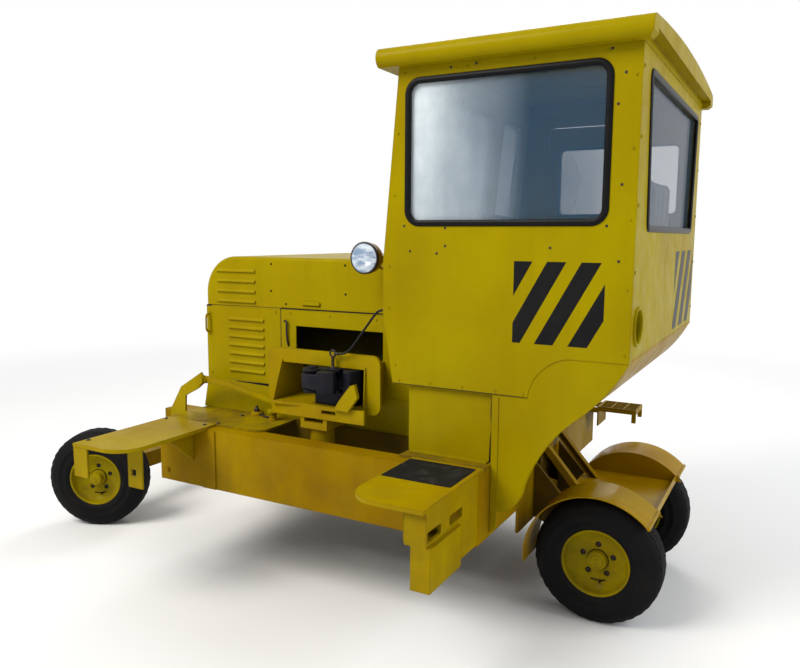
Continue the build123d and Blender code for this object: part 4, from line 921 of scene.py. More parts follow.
@dataclass
class Wheel:
    """One road wheel: tyre with its tread, dished disc, hub cap, wheel nuts and valve."""

    tag: str
    centre: Vector
    outward: Vector
    steered: bool
    finishes: Finishes
    studs: StudTree
    radius: float = 265
    half: float = 80
    bead: float = 143
    grooves: tuple[float, ...] = (-42, -14, 14, 42)
    groove_deep: float = 7
    groove_floor: float = 3
    groove_mouth: float = 4.2
    sipe_deep: float = 2.8
    swing: float = 4.2
    crown_drop: float = 2.6
    shoulder_drop: float = 4.5
    shoulder_in: float = 28
    steps: int = 216
    bolts: int = 5
    bolt_ring: float = 65
    hole_ring: float = 66
    hole: float = 12.5
    slot: Spot = (87, 95)

    def turned(self, part: str, profile: Outline, finish: Finish, steps: int = 48) -> Piece:
        """A turned piece on the wheel's axis, named for the wheel."""
        return lathe(f"wheel_{self.tag}_{part}", profile, self.centre, self.outward, finish, steps)

    def face(self, u: float, v: float, lift: float) -> Vector:
        """Scene point of a spot on the disc, in millimetres from the wheel's middle."""
        across = self.outward.cross(UP).normalized()
        return self.centre + (across * u + UP * v + self.outward * lift) / 1000

    def heads(self, part: str, spots: Outline, lift: float, radius: float, height: float, finish: Finish,
              sides: int) -> Piece:
        """Heads set on the disc, at spots in millimetres from the wheel's middle."""
        places = [self.face(u, v, lift) for u, v in spots]
        return self.studs.set(f"wheel_{self.tag}_{part}", places, self.outward, radius, height, finish, sides)

    def tyre(self) -> Piece:
        """Build the tyre: ribbed zigzag tread, shoulders and ringed sidewalls."""
        bead, half, deep, tread = self.bead, self.half, self.groove_deep, self.half - self.shoulder_in
        floor, mouth = self.groove_floor, self.groove_mouth
        wall = [(bead - 6, half - 12), (bead + 4, half - 6), (bead + 12, half - 1), (bead + 24, half + 0.5),
                (bead + 27, half - 1.5), (196, half), (199, half + 1.4), (206, half + 1.4), (209, half - 0.4),
                (226, half - 4), (238, half - 9), (250, half - 17), (256.5, half - 22.5)]
        lips = [(self.radius - self.crown_drop * (groove / self.grooves[-1]) ** 2 - cut, groove + offset)
                for groove in reversed(self.grooves)
                for offset, cut in ((mouth, 0), (floor, deep), (-floor, deep), (-mouth, 0))]
        place = turning(self.centre, self.outward)
        points = []
        for i in range(self.steps):
            swing = self.swing if (i // 3) % 2 else -self.swing
            shoulder = self.radius - self.shoulder_drop - (0 if i % 3 else self.sipe_deep)
            section = [*wall, (shoulder, tread), *((r, w + swing) for r, w in lips), (shoulder, -tread),
                       *((r, -w) for r, w in reversed(wall))]
            angle = 2 * math.pi * i / self.steps
            points += [place @ Vector((r * math.cos(angle), r * math.sin(angle), w)) for r, w in section]
        faces = grid_faces(self.steps, len(points) // self.steps, closed=True)
        piece = solid(f"wheel_{self.tag}_tyre", points, faces, self.finishes.tyre)
        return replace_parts(piece, f"tyre_{self.tag}")

    def rim(self) -> Piece:
        """Build the dished disc with its rolled flanges, five holes and the slot near its foot."""
        flange = [(131.5, 62), (132, 69), (134.5, 72.8), (138.2, 74.2), (141.5, 73.2), (143, 70.6),
                  (142.8, 68.2), (136.8, 67.6)]
        front = [(0, 24), (44.5, 24), (47, 25.6), (51, 25.6), (53.5, 24), (92, 24), (101.5, 24.8),
                 (108.5, 27.5), (116.5, 33), (124.5, 40), (129, 48)]
        back = [(radius, -height) for radius, height in reversed(flange)]
        behind = [(131, 8), (126.5, 15.5), (101, 16), (50, 16), (50, -44), (26.5, -44), (26.5, 21.5),
                  (0, 21.5)]
        piece = self.turned("disc", [*front, *flange, *back, *behind], self.finishes.wheel, 96)
        holes = [circle(self.hole, 18, middle) for middle in circle(self.hole_ring, self.bolts, start=90.0)]
        arc = [math.radians(a) for a in range(247, 290, 4)]
        inner, outer = self.slot
        holes.append([(outer * math.cos(a), outer * math.sin(a)) for a in arc]
                     + [(inner * math.cos(a), inner * math.sin(a)) for a in reversed(arc)])
        pierced(piece, plates("holes", holes, self.face, 10, 32, self.finishes.wheel))
        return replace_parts(piece, f"rim_{self.tag}")

    def hub(self) -> list[Piece]:
        """Build the hub cap, deep on a steered wheel, with its seal and two bosses, and the wheel nuts."""
        plain = [(42.5, 22), (43, 30), (40.5, 44), (36, 48.5), (30, 49), (28.5, 47), (26, 47), (24.5, 49.2),
                 (12, 50.5), (0, 51)]
        deep = [(42.5, 22), (42.5, 34), (40, 40), (34.5, 42), (33.5, 66), (31.5, 71), (26, 73.5), (12, 74.5),
                (0, 74.5)]
        seal = [(42.5, 23.5), (42.5, 26.2), (44, 26.8), (45.5, 26.2), (46, 23.5)]
        profile, top = (deep, 74) if self.steered else (plain, 50.2)
        nuts = circle(self.bolt_ring, self.bolts, start=90.0)
        return [self.turned("hub_cap", profile, self.finishes.wheel),
                self.turned("hub_seal", seal, self.finishes.black),
                # Wheel nuts in dark iron, partly painted shade in their holes.
                self.heads("nuts", nuts, 15, 7.8, 6.2, self.finishes.iron, 6),
                self.heads("bosses", [(-1, 9), (-3, -11)], top, 5.5, 2.2, self.finishes.wheel, 16)]

    def build(self) -> list[Piece]:
        """Build every piece and let it turn with the wheel."""
        # Dark iron drum face behind the disc's holes: the drum, and painted shade in the holes.
        drum = [(50, 4), (100, 4), (102, 7), (102, 13.5), (100, 15.5), (50, 15.5)]
        stem = [(0, -6), (4.5, -6), (4, 12), (3, 14), (3, 24), (0, 24)]
        foot, rubber = self.face(-14, -91, 22), self.finishes.gasket
        pieces = [
            self.tyre(), self.rim(), self.turned("drum_face", drum, self.finishes.iron), *self.hub(),
            lathe(f"wheel_{self.tag}_valve", stem, foot, self.outward, rubber, 12)]
        return riding(pieces, f"wheel_{self.tag}")


@dataclass
class Windows:
    """Rubber gaskets round every pane of the cab."""

    finishes: Finishes
    section: Outline = ((-13, -8), (-14, 3), (-10.5, 6.5), (-4, 8), (3, 7.5), (9.5, 4.5), (11, 0.5), (11, -4))
    screen_foot: Spot = (343.0, 1496.0)
    screen_top: Spot = (412.0, 2246.0)

    def screen(self, y: float, z: float, lift: float) -> Vector:
        """Scene point on the sloping front wall."""
        (foot_x, foot_z), (top_x, top_z) = self.screen_foot, self.screen_top
        return at(foot_x + (z - foot_z) / (top_z - foot_z) * (top_x - foot_x) - lift, y, z)

    def build(self) -> list[Piece]:
        """Build a gasket for each pane, and let the door's ride with the door."""
        near, far = Side.NEAR.plane(CAB_SIDE), Side.FAR.plane(CAB_SIDE)
        end = rounded_corners([(-550, 1632), (550, 1632), (600, 2180), (-600, 2180)], 30)
        made = []
        for name, loop, plane, body in (
                ("side_window_gasket", rounded_loop(452, 1232, 1650, 2196, 52), near, "root"),
                ("far_pane_gasket", rounded_loop(1070, 1250, 1714, 2085, 36), far, "root"),
                ("end_window_gasket", end, end_plane(CAB_END), "root"),
                ("windscreen_gasket_1", rounded_loop(-620, 235, 1640, 2190, 52), self.screen, "root"),
                ("windscreen_gasket_2", rounded_loop(345, 640, 1640, 2190, 52), self.screen, "root"),
                ("door_gasket", rounded_loop(610, 950, 1714, 2085, 36), far, "door_leaf")):
            made += riding([swept_ring(name, loop, plane, self.section, self.finishes.gasket)], body)
        return made


@dataclass
class Lamp:
    """Round headlamp with its bezel, fluted lens, reflector and bracket."""

    finishes: Finishes
    centre: Triple = (225.0, -700.0, 1509.0)
    radius: float = 66.0
    rings: int = 14
    steps: int = 96
    lens_edge: float = 5.7
    lens_lift: float = 1.5
    dome: float = 7.0
    flute: float = 8.5
    flute_deep: float = 0.7

    def turned(self, name: str, profile: Outline, finish: Finish, steps: int = 48) -> Piece:
        """A turned piece on the lamp's axis, its heights towards the front."""
        return lathe(name, profile, at(*self.centre), Side.NEAR.normal, finish, steps)

    def lens(self) -> Piece:
        """Build the domed lens, pressed in upright flutes."""
        (x0, y0, z0), steps, edge = self.centre, self.steps, self.radius - self.lens_edge
        points = [at(x0, y0 - self.lens_lift - self.dome, z0)]
        for i in range(1, self.rings + 1):
            share = i / self.rings
            lift = self.lens_lift + self.dome * (1 - share ** 2)
            for x, z in circle(edge * share, steps):
                flute = self.flute_deep * math.cos(2 * math.pi * x / self.flute) * (1 - share ** 6)
                points.append(at(x0 + x, y0 - lift - flute, z0 + z))
        around = [(k, (k + 1) % steps) for k in range(steps)]
        faces: list[tuple[int, ...]] = [(0, 1 + k, 1 + after) for k, after in around]
        for low in range(1, 1 + (self.rings - 1) * steps, steps):
            faces += [(low + k, low + steps + k, low + steps + after, low + after) for k, after in around]
        return solid("lamp_lens", points, faces, self.finishes.lens)

    def build(self) -> list[Piece]:
        """Build the lamp in place of its plain solid."""
        r, f = self.radius, self.finishes
        bowl = [(r - 4, -4), (r - 1, -6), (r, -12), (r, -28), (r * 0.96, -46), (r * 0.84, -64),
                (r * 0.55, -78), (0, -84)]
        bezel = [(r - 1, -14), (r + 1.8, -11), (r + 2.2, -2), (r, 2), (r - 3, 3), (r - 6, 1), (r - 6.2, -6),
                 (r - 1, -14)]
        mirror = [(r - 8.5, -3), (r * 0.7, -26), (r * 0.4, -40), (0, -46)]
        bulb = [(0, -16), (7, -19), (10, -27), (6, -36), (6, -45), (0, -45)]
        ear = [at(276, -655, 1470), at(300, -660, 1462), at(325, -665, 1452), at(346, -668, 1449)]
        bracket = [(282, 1492), (346, 1474), (346, 1498), (288, 1522)]
        pieces = [
            self.turned("lamp_bowl", bowl, f.frame, 72), self.turned("lamp_bezel", bezel, f.iron, 72),
            self.turned("lamp_reflector", mirror, f.chrome), self.turned("lamp_bulb", bulb, f.chrome, 20),
            tube("lamp_ear", ear, 6, f.frame),
            slab("lamp_bracket", bracket, Side.NEAR.plane(660), -6, 0, f.frame, 1), self.lens()]
        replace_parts(pieces[0], "headlamp")
        return riding(pieces)


@dataclass
class Fasteners:
    """Screws and bolts on the hood, cab, frame and steps, from (x, z) spots on the sides."""

    finishes: Finishes
    studs: StudTree
    hood_screws: Outline = ((-394, 1465), (27, 1468), (-397, 1336), (29, 1337), (-308, 1277))
    panel_screws: Outline = (
        (-372, 1236), (-372, 905), (-786, 905), (310, 1462), (310, 1318), (-285, 1235), (-60, 1232),
        (190, 1232))
    cab_screws: Outline = (
        (372, 1480), (372, 1310), (402, 1080), *((x, 1016) for x in (420, 560, 700, 840, 950)),
        *((1316, z) for z in (1190, 1420, 1660, 1900, 2140)), *((x, 2226) for x in (440, 700, 960, 1220)),
        (395, 1760), (410, 2000))
    cab_rivets: Outline = (
        (737, 2234), (1232, 2232), (1281, 2150), (1259, 2049), (634, 2230), (439, 1641), (619, 1633),
        (1237, 1640), (466, 1542), (584, 1535), (620, 1564), (1283, 1780), (1283, 1518), (1038, 1562))
    beam_bolts: Outline = tuple((x, z) for x in (-780, 640) for z in (480, 660))
    jack_bolts: Outline = ((-60, 804), (60, 804))
    step_bolts: Outline = ((-806, -1285), (-806, -842), (-560, -842), (-524, -790), (-524, -620))

    def sides(self) -> list[Piece]:
        """Set the rows that both long sides have."""
        f = self.finishes
        made = []
        for side in Side:
            out = side.normal
            for name, spots, y, *head in (
                    ("hood_screws", self.hood_screws, HOOD_SIDE, out, 6, 2.2, f.gasket),
                    ("panel_screws", self.panel_screws, HOOD_SIDE, out, 7.5, 3, f.body),
                    ("cab_screws", self.cab_screws, CAB_SIDE, out, 5.5, 3, f.body),
                    ("cab_rivets", self.cab_rivets, CAB_SIDE, out, 5.5, 2, f.iron),
                    ("beam_bolts", self.beam_bolts, BEAM_FACE, out, 13, 10, f.frame, 6),
                    ("jack_bolts", self.jack_bolts, JACK_BOLTS, UP, 11, 11, f.frame, 6)):
                places = [at(x, side.value * y, z) for x, z in spots]
                made.append(self.studs.set(f"{name}_{side.tag}", places, *head))
        return made

    def build(self) -> list[Piece]:
        """Set every row of heads."""
        steps = [at(x, y, DECK_TOP) for x, y in self.step_bolts]
        ends = [at(CAB_END, y, z) for y in (-722, 722) for z in (1250, 1480, 1710, 1940, 2170)
                if (y, z) != (-722, 1250)]
        return riding([
            *self.sides(),
            self.studs.set("step_bolts", steps, UP, 10, 5, self.finishes.iron, 6),
            self.studs.set("end_wall_screws", ends, TO_CAB_END, 7, 4, self.finishes.body)])


@dataclass
class HoodFittings:
    """Lid seam and shut lines with black strips of painted shadow in their gaps, latches, hooks and raised
    lid handles with painted shadow under them, on both sides of the hood.
    """

    finishes: Finishes
    # Black strips that are painted shadow in the gaps of the lid seam and shut lines.
    seams: tuple[Outline, ...] = (
        ((-802, 1251.5), (-338, 1255.5), (-338, 1257.5), (-802, 1253.5)),
        ((-338, 1252.5), (343, 1255.5), (343, 1260.5), (-338, 1258.5)),
        ((-342, 1063), (-338.5, 1063), (-338.5, 1256), (-342, 1256)),
        ((-629, 872), (-388, 866), (-388, 879.5), (-629, 875)),
        ((-811, 1244), (-776, 1246), (-776, 1252), (-811, 1252)))
    lip: Outline = ((-338, 1259), (343, 1261.5), (343, 1266), (-338, 1263.5))
    latch_pull: tuple[Triple, ...] = (
        (-794, 1206, 0), (-794, 1206, 20), (-794, 1190, 26), (-794, 1160, 26), (-794, 1130, 26),
        (-794, 1114, 20), (-794, 1114, 0))
    lid_hook: tuple[Triple, ...] = (
        (-318, 1196, 0), (-314, 1197, 9), (-304, 1199, 12), (-297, 1193, 12), (-299, 1178, 10),
        (-301, 1140, 9), (-295, 1085, 8), (-295, 1078, 0))

    def side(self, side: Side) -> list[Piece]:
        """Build the fittings of one side of the hood."""
        f, plane, tag = self.finishes, side.plane(HOOD_SIDE), side.tag
        # Painted shadow lines in the seams.
        made = [plates(f"hood_seams_{tag}", self.seams, plane, -0.5, 0.5, f.black)]
        for name, loop, low, high, finish, bevel in (
                ("lid_lip", self.lip, -0.5, 3.0, f.body, 0.8),
                # A dark flat slab peeking out under the raised handle: painted shadow.
                ("handle_recess", rounded_loop(-211, -108, 1271, 1291, 4, 3), -0.5, 0.4, f.under, 0.0),
                ("lid_handle", rounded_loop(-209, -110, 1277, 1294, 5, 3), 0.0, 9.0, f.body, 2.0),
                ("latch_plate", rounded_loop(-806, -782, 1100, 1220, 8, 4), -0.5, 3.0, f.body, 0.8)):
            made.append(slab(f"{name}_{tag}", loop, plane, low, high, finish, bevel))
        for name, route, radius, finish in (("latch_pull", self.latch_pull, 4.5, f.body),
                                            ("lid_hook", self.lid_hook, 4.8, f.iron)):
            made.append(tube(f"{name}_{tag}", [plane(*spot) for spot in route], radius, finish))
        return made

    def build(self) -> list[Piece]:
        """Build both sides on the fixed body."""
        return riding([piece for side in Side for piece in self.side(side)])


@dataclass
class CabTrim:
    """Port rim, flange strip and panel foot of the cab, with the dark joints beside them."""

    finishes: Finishes
    port: Triple = (CAB_END, -642, 1284)
    rim: Outline = ((61, -4), (60.5, 4), (62.5, 7.5), (66.5, 8.5), (70.5, 6.5), (72, 0), (70, -2))
    strip: Outline = ((829, 446), (856, 470), (856, 992), (829, 992))
    strip_joint: Outline = (
        (812, 722.5), (826.5, 722.5), (826.5, 999), (818, 999), (815, 930), (819, 860), (814, 800))
    foot: Outline = ((470, -746), (812, -752), (812, -722), (470, -722))
    foot_joint: Outline = ((389, 1001), (968, 1001), (968, 1003.5), (389, 1003.5))

    def build(self) -> list[Piece]:
        """Build every strip on the fixed body."""
        body, black, side = self.finishes.body, self.finishes.black, Side.NEAR
        return riding([
            lathe("port_rim", self.rim, at(*self.port), TO_CAB_END, body, 64),
            slab("flange_strip", self.strip, side.plane(742), -1.0, 3.5, body, 0.8),
            slab("flange_joint", self.strip_joint, side.plane(722), -0.5, 0.6, black),
            slab("panel_foot", self.foot, level_plane(DECK_TOP), 0.0, 6.0, body, 1.0),
            slab("cab_foot_joint", self.foot_joint, side.plane(CAB_SIDE), -0.5, 0.4, black)])


@dataclass
class Deck:
    """Anti-slip pad, fitting and cap on the near deck, and the striped blocks on the cab."""

    finishes: Finishes
    fitting: Spot = (-474, -569)
    filler: Spot = (-343, -609)
    stripe_count: int = 4
    stripe_share: float = 0.56
    stripe_lean: float = 0.55

    def stripes(self, name: str, x0: float, x1: float, z0: float, z1: float, plane: Plane) -> Piece:
        """Build a block of plain diagonal stripes.

        Args:
            name: Object name.
            x0: First end of the block along the surface.
            x1: Other end.
            z0: Bottom.
            z1: Top.
            plane: Maps the block onto its surface.

        Returns:
            The stripes, as one thin mesh.
        """
        lean = self.stripe_lean * (z1 - z0)
        pitch = (x1 - x0 + lean) / self.stripe_count
        wide = pitch * self.stripe_share
        lows = [x0 - lean + pitch * i for i in range(self.stripe_count)]
        loops = [clip_band([(low, z0), (low + wide, z0), (low + wide + lean, z1), (low + lean, z1)], x0, x1)
                 for low in lows]
        return plates(name, [loop for loop in loops if loop], plane, 0.0, 0.5, self.finishes.black)

    def turned(self, name: str, spot: Spot, profile: Outline, finish: Finish, steps: int = 32) -> Piece:
        """An upright turned piece that stands on the deck."""
        return lathe(name, profile, at(*spot, DECK_TOP), UP, finish, steps)

    def build(self) -> list[Piece]:
        """Build every piece on the fixed body."""
        f, top = self.finishes, level_plane(DECK_TOP)
        pad = rounded_corners([(522, -1068), (806, -1068), (806, -830), (522, -830)], 8, 4)
        boss = [(30, -1), (30, 10), (26, 16), (18, 19), (0, 20)]
        nipple = [(14, 18), (14, 30), (9, 34), (6, 46), (0, 48)]
        neck = [(23, -1), (23, 6), (17.5, 9), (17.5, 34), (0, 34)]
        cap = [(17.5, 33), (23.5, 34), (25, 37), (25, 50), (22.5, 54), (0, 55.5)]
        pipe = [at(-455, -575, 733), at(-420, -590, 730), at(-380, -600, 730), at(-366, -604, 732)]
        return riding([
            slab("anti_slip_pad", pad, top, -0.2, 1.6, f.grit),
            self.stripes("side_stripes", 903, 1240, 1208, 1512, Side.NEAR.plane(CAB_SIDE)),
            self.stripes("end_stripes", 159, 700, 1189, 1540, end_plane(CAB_END)),
            self.turned("grease_boss", self.fitting, boss, f.frame),
            self.turned("grease_fitting", self.fitting, nipple, f.iron, 16),
            self.turned("filler_neck", self.filler, neck, f.frame),
            self.turned("filler_cap", self.filler, cap, f.body),
            tube("grease_pipe", pipe, 4.5, f.iron)])


@dataclass
class Coupler:
    """One coupler: cast head with its ears and pin, swinging knuckle, lock lifter with its ring."""

    side: Side
    finishes: Finishes
    pin: Spot = (-5.0, -752.0)
    ear: float = 44.0
    ear_thick: float = 15.0
    lifter: Spot = (80.0, -722.0)
    ring_high: float = 1096.0
    ring_reach: float = 14
    ring_bar: float = 4.2
    head_voxel: float = 3.5
    knuckle_voxel: float = 3

    def spot(self, x: float, y: float, z: float) -> Vector:
        """Scene point of a spot on this coupler, from the near coupler's millimetres."""
        turn = -self.side.value
        return at(turn * x, turn * y, z)

    def prism(self, loop: Outline, low: float, high: float) -> Piece:
        """An upright prism, for melting."""
        return plates("lump", [loop], self.spot, low, high, self.finishes.grease)

    def lump(self, corners: Outline, radius: float, low: float, high: float) -> Piece:
        """An upright prism with rounded corners, for melting."""
        return self.prism(rounded_corners(corners, radius), low, high)

    def head(self) -> Piece:
        """Build the head casting, in place of its plain solid."""
        x, y = self.pin
        ear = [(x - self.ear, -690), (x - self.ear, y), (x + self.ear, y - 4), (118, -732), (118, -690)]
        shank = [(-28, -540), (-28, -700), (-4, -738), (100, -738), (188, -700), (196, -540)]
        body = [(-62, -540), (-70, -640), (-52, -698), (124, -698), (150, -752), (186, -758), (206, -700),
                (206, -540)]
        boss = [(60, -736), (64, -700), (98, -700), (102, -736)]
        lumps = [self.lump(shank, 20, 868, 926), self.lump(body, 14, 922, 1028),
                 self.lump(boss, 8, 1020, 1034)]
        for low in (924, 1015):
            high = low + self.ear_thick
            lumps += [self.prism(circle(self.ear, 48, self.pin), low, high), self.lump(ear, 6, low, high)]
        piece = casting(f"coupler_head_{self.side.tag}", lumps, self.head_voxel, self.finishes.grease)
        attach(piece, "root")
        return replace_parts(piece, "coupler_heads")

    def knuckle(self) -> Piece:
        """Build the knuckle casting, a hooked jaw on the pin, in place of its plain solid."""
        jaw = [(-42, -722), (-50, -752), (-36, -794), (20, -811), (94, -815), (134, -800), (134, -770),
               (104, -766), (66, -760), (46, -744), (40, -722)]
        nose = [(-46, -756), (-33, -795), (20, -812), (60, -812), (30, -770)]
        finger = [(52, -768), (52, -812), (94, -815), (133, -800), (133, -772), (104, -768)]
        lumps = [self.lump(jaw, 7, 946, 1009), self.lump(nose, 8, 944, 1011),
                 self.prism(circle(self.ear, 48, self.pin), 944, 1011), self.lump(finger, 9, 932, 1027)]
        name = f"coupler_knuckle_casting_{self.side.tag}"
        piece = casting(name, lumps, self.knuckle_voxel, self.finishes.grease)
        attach(piece, f"jaw_{self.side.tag}")
        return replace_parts(piece, f"coupler_knuckle_{self.side.tag}")

    def lock(self) -> list[Piece]:
        """Build the pin's head, the lifter rod, its ring and the cable's ferrule."""
        iron, tag, (x, y) = self.finishes.iron, self.side.tag, self.lifter
        across, along = Vector((0, -self.side.value, 0)), Vector((-self.side.value, 0, 0))
        pin = [(16, -4), (23, -2), (24, 3), (19, 7), (8, 9), (0, 9.5)]
        rod = [(0, -10), (12, -10), (13, 4), (6.5, 10), (6, 44), (7.5, 47), (7.5, 53), (0, 55)]
        ferrule = [(0, -4), (5.5, -4), (7.2, 0), (7.2, 12), (5.8, 15), (0, 15)]
        ring = round_bar(self.ring_reach, self.ring_bar, 14)
        return riding([
            lathe(f"coupler_pin_{tag}", pin, self.spot(*self.pin, 1031), UP, self.finishes.grease, 28),
            lathe(f"lock_lifter_{tag}", rod, self.spot(x, y, 1030), UP, iron, 20),
            lathe(f"lifter_ring_{tag}", ring, self.spot(x, y, self.ring_high), across, iron, 40),
            lathe(f"lifter_ferrule_{tag}", ferrule, self.spot(x + 14, y, self.ring_high), along, iron, 20)])

    def build(self) -> list[Piece]:
        """Build the whole coupler."""
        return [self.head(), self.knuckle(), *self.lock()]


@dataclass
class Cable:
    """Slack uncoupling cable from the lock lifter to the cab's front edge."""

    finishes: Finishes
    diameter: float = 0.010
    route: tuple[Triple, ...] = (
        (106, -722, 1096), (134, -722, 1096), (167, -723, 1117), (198, -724, 1152), (227, -725, 1192),
        (257, -726, 1229), (287, -727, 1268), (316, -729, 1298), (343, -729, 1298))

    def build(self) -> list[Piece]:
        """Build the cable as one open spline."""
        route = [at(*spot) for spot in self.route]
        piece = rod_curve("uncoupling_cable_sheath", route, self.diameter / 2, self.finishes.cable,
                          round_steps=4, route_steps=8)
        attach(piece, "root")
        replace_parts(piece, "uncoupling_cable")
        return [piece]


@dataclass
class Seat:
    """Driver's seat: a stuffed cushion and back, in cracked vinyl."""

    finishes: Finishes
    voxel: float = 0.006
    quick_voxel: float = 0.02
    swell: float = 0.012
    margin: float = 0.014
    pressure: float = 4.0
    frames: int = 20
    channel: float = 0.004
    channel_wide: float = 0.007
    channels: tuple[float, ...] = (0.25, 0.5, 0.75)

    def blank(self, name: str, low: Vector, high: Vector) -> Piece:
        """Build the soft block that is stuffed, a little smaller than its solid."""
        build = bmesh.new()
        bmesh.ops.create_cube(build, size=1.0)
        middle, size = (low + high) / 2, high - low
        for vert in build.verts:
            vert.co = middle + Vector([c * (length - self.margin) for c, length in zip(vert.co, size)])
        bmesh.ops.bevel(build, geom=build.edges[:], offset=self.margin, segments=3, affect="EDGES",
                        profile=0.5)
        mesh = bpy.data.meshes.new(name)
        build.to_mesh(mesh)
        build.free()
        mesh.materials.append(self.finishes.vinyl)
        made = linked(name, mesh)
        grid = made.modifiers.new("grid", "REMESH")
        grid.mode = "VOXEL"
        grid.voxel_size = self.voxel
        return applied(made)

    def stuff(self, piece: Piece) -> None:
        """Swell the block by cloth simulation, with every point's travel capped."""
        cloth = piece.modifiers.new("stuffing", "CLOTH")
        cloth.settings.use_pressure = True
        cloth.settings.uniform_pressure_force = self.pressure
        cloth.settings.effector_weights.gravity = 0.0
        scene = bpy.context.scene
        for frame in range(1, self.frames + 1):
            scene.frame_set(frame)
        swollen = piece.evaluated_get(bpy.context.evaluated_depsgraph_get()).data
        moved = [vert.co.copy() for vert in swollen.vertices]
        piece.modifiers.remove(cloth)
        scene.frame_set(1)
        for vert, spot in zip(piece.data.vertices, moved):
            step = spot - vert.co
            vert.co += step.normalized() * min(step.length, self.swell)

    def pad(self, name: str, low: Vector, high: Vector, face: int) -> Piece:
        """Build one pad, with channels sewn across its width.

        Args:
            name: Object name.
            low: Lowest corner of its solid.
            high: Highest corner.
            face: Axis that its sewn face looks along.

        Returns:
            The pad.
        """
        made = self.blank(name, low, high)
        self.stuff(made)
        middle, width = (low[face] + high[face]) / 2, high.y - low.y
        for vert in made.data.vertices:
            for share in self.channels:
                off = (vert.co.y - low.y - share * width) / self.channel_wide
                vert.co[face] -= math.copysign(self.channel * math.exp(-off * off), vert.co[face] - middle)
        smooth = made.modifiers.new("round", "SUBSURF")
        smooth.levels = smooth.render_levels = 1
        applied(made)
        made.data.shade_smooth()
        return made

    def build(self) -> list[Piece]:
        """Build the cushion and the back in place of the plain solids."""
        cushion = self.pad("seat_cushion", at(950, -220, 1420), at(1290, 220, 1510), face=2)
        back = self.pad("seat_back", at(1200, -220, 1512), at(1290, 220, 1850), face=0)
        for piece in riding([cushion, back]):
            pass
        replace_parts(cushion, "seat")
        return [cushion, back]


@dataclass
class HandWheel:
    """Driver's steering wheel: a moulded rim, three spokes and a horn button."""

    finishes: Finishes
    radius: float = 190
    grip: float = 12.5
    lean: float = math.radians(15)
    column: float = 659.0
    spokes: int = 3

    def build(self) -> list[Piece]:
        """Build the wheel in place of its plain solid."""
        black, level = self.finishes.black, Vector((0, 1, 0))
        axis = Vector((math.sin(self.lean), 0, math.cos(self.lean)))
        centre = at(529, -60, 1012) + axis * self.column / 1000
        hub = [(0, -14), (26, -14), (30, -8), (30, 10), (24, 18), (10, 21), (0, 21)]
        pieces = [lathe("hand_wheel_rim", round_bar(self.radius, self.grip, 20), centre, axis, black, 96),
                  lathe("hand_wheel_hub", hub, centre, axis, black, 40)]
        for i, (u, v) in enumerate(circle(self.radius, self.spokes, start=90.0), 1):
            out = axis.cross(level).normalized() * u + level * v
            route = [centre + (out * share - axis * drop) / 1000
                     for share, drop in ((0.12, 0), (0.35, 4), (0.65, 6), (0.97, 0))]
            pieces.append(tube(f"hand_wheel_spoke_{i}", route, 7.5, black))
        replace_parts(pieces[0], "steering_wheel")
        return riding(pieces, "hand_wheel")


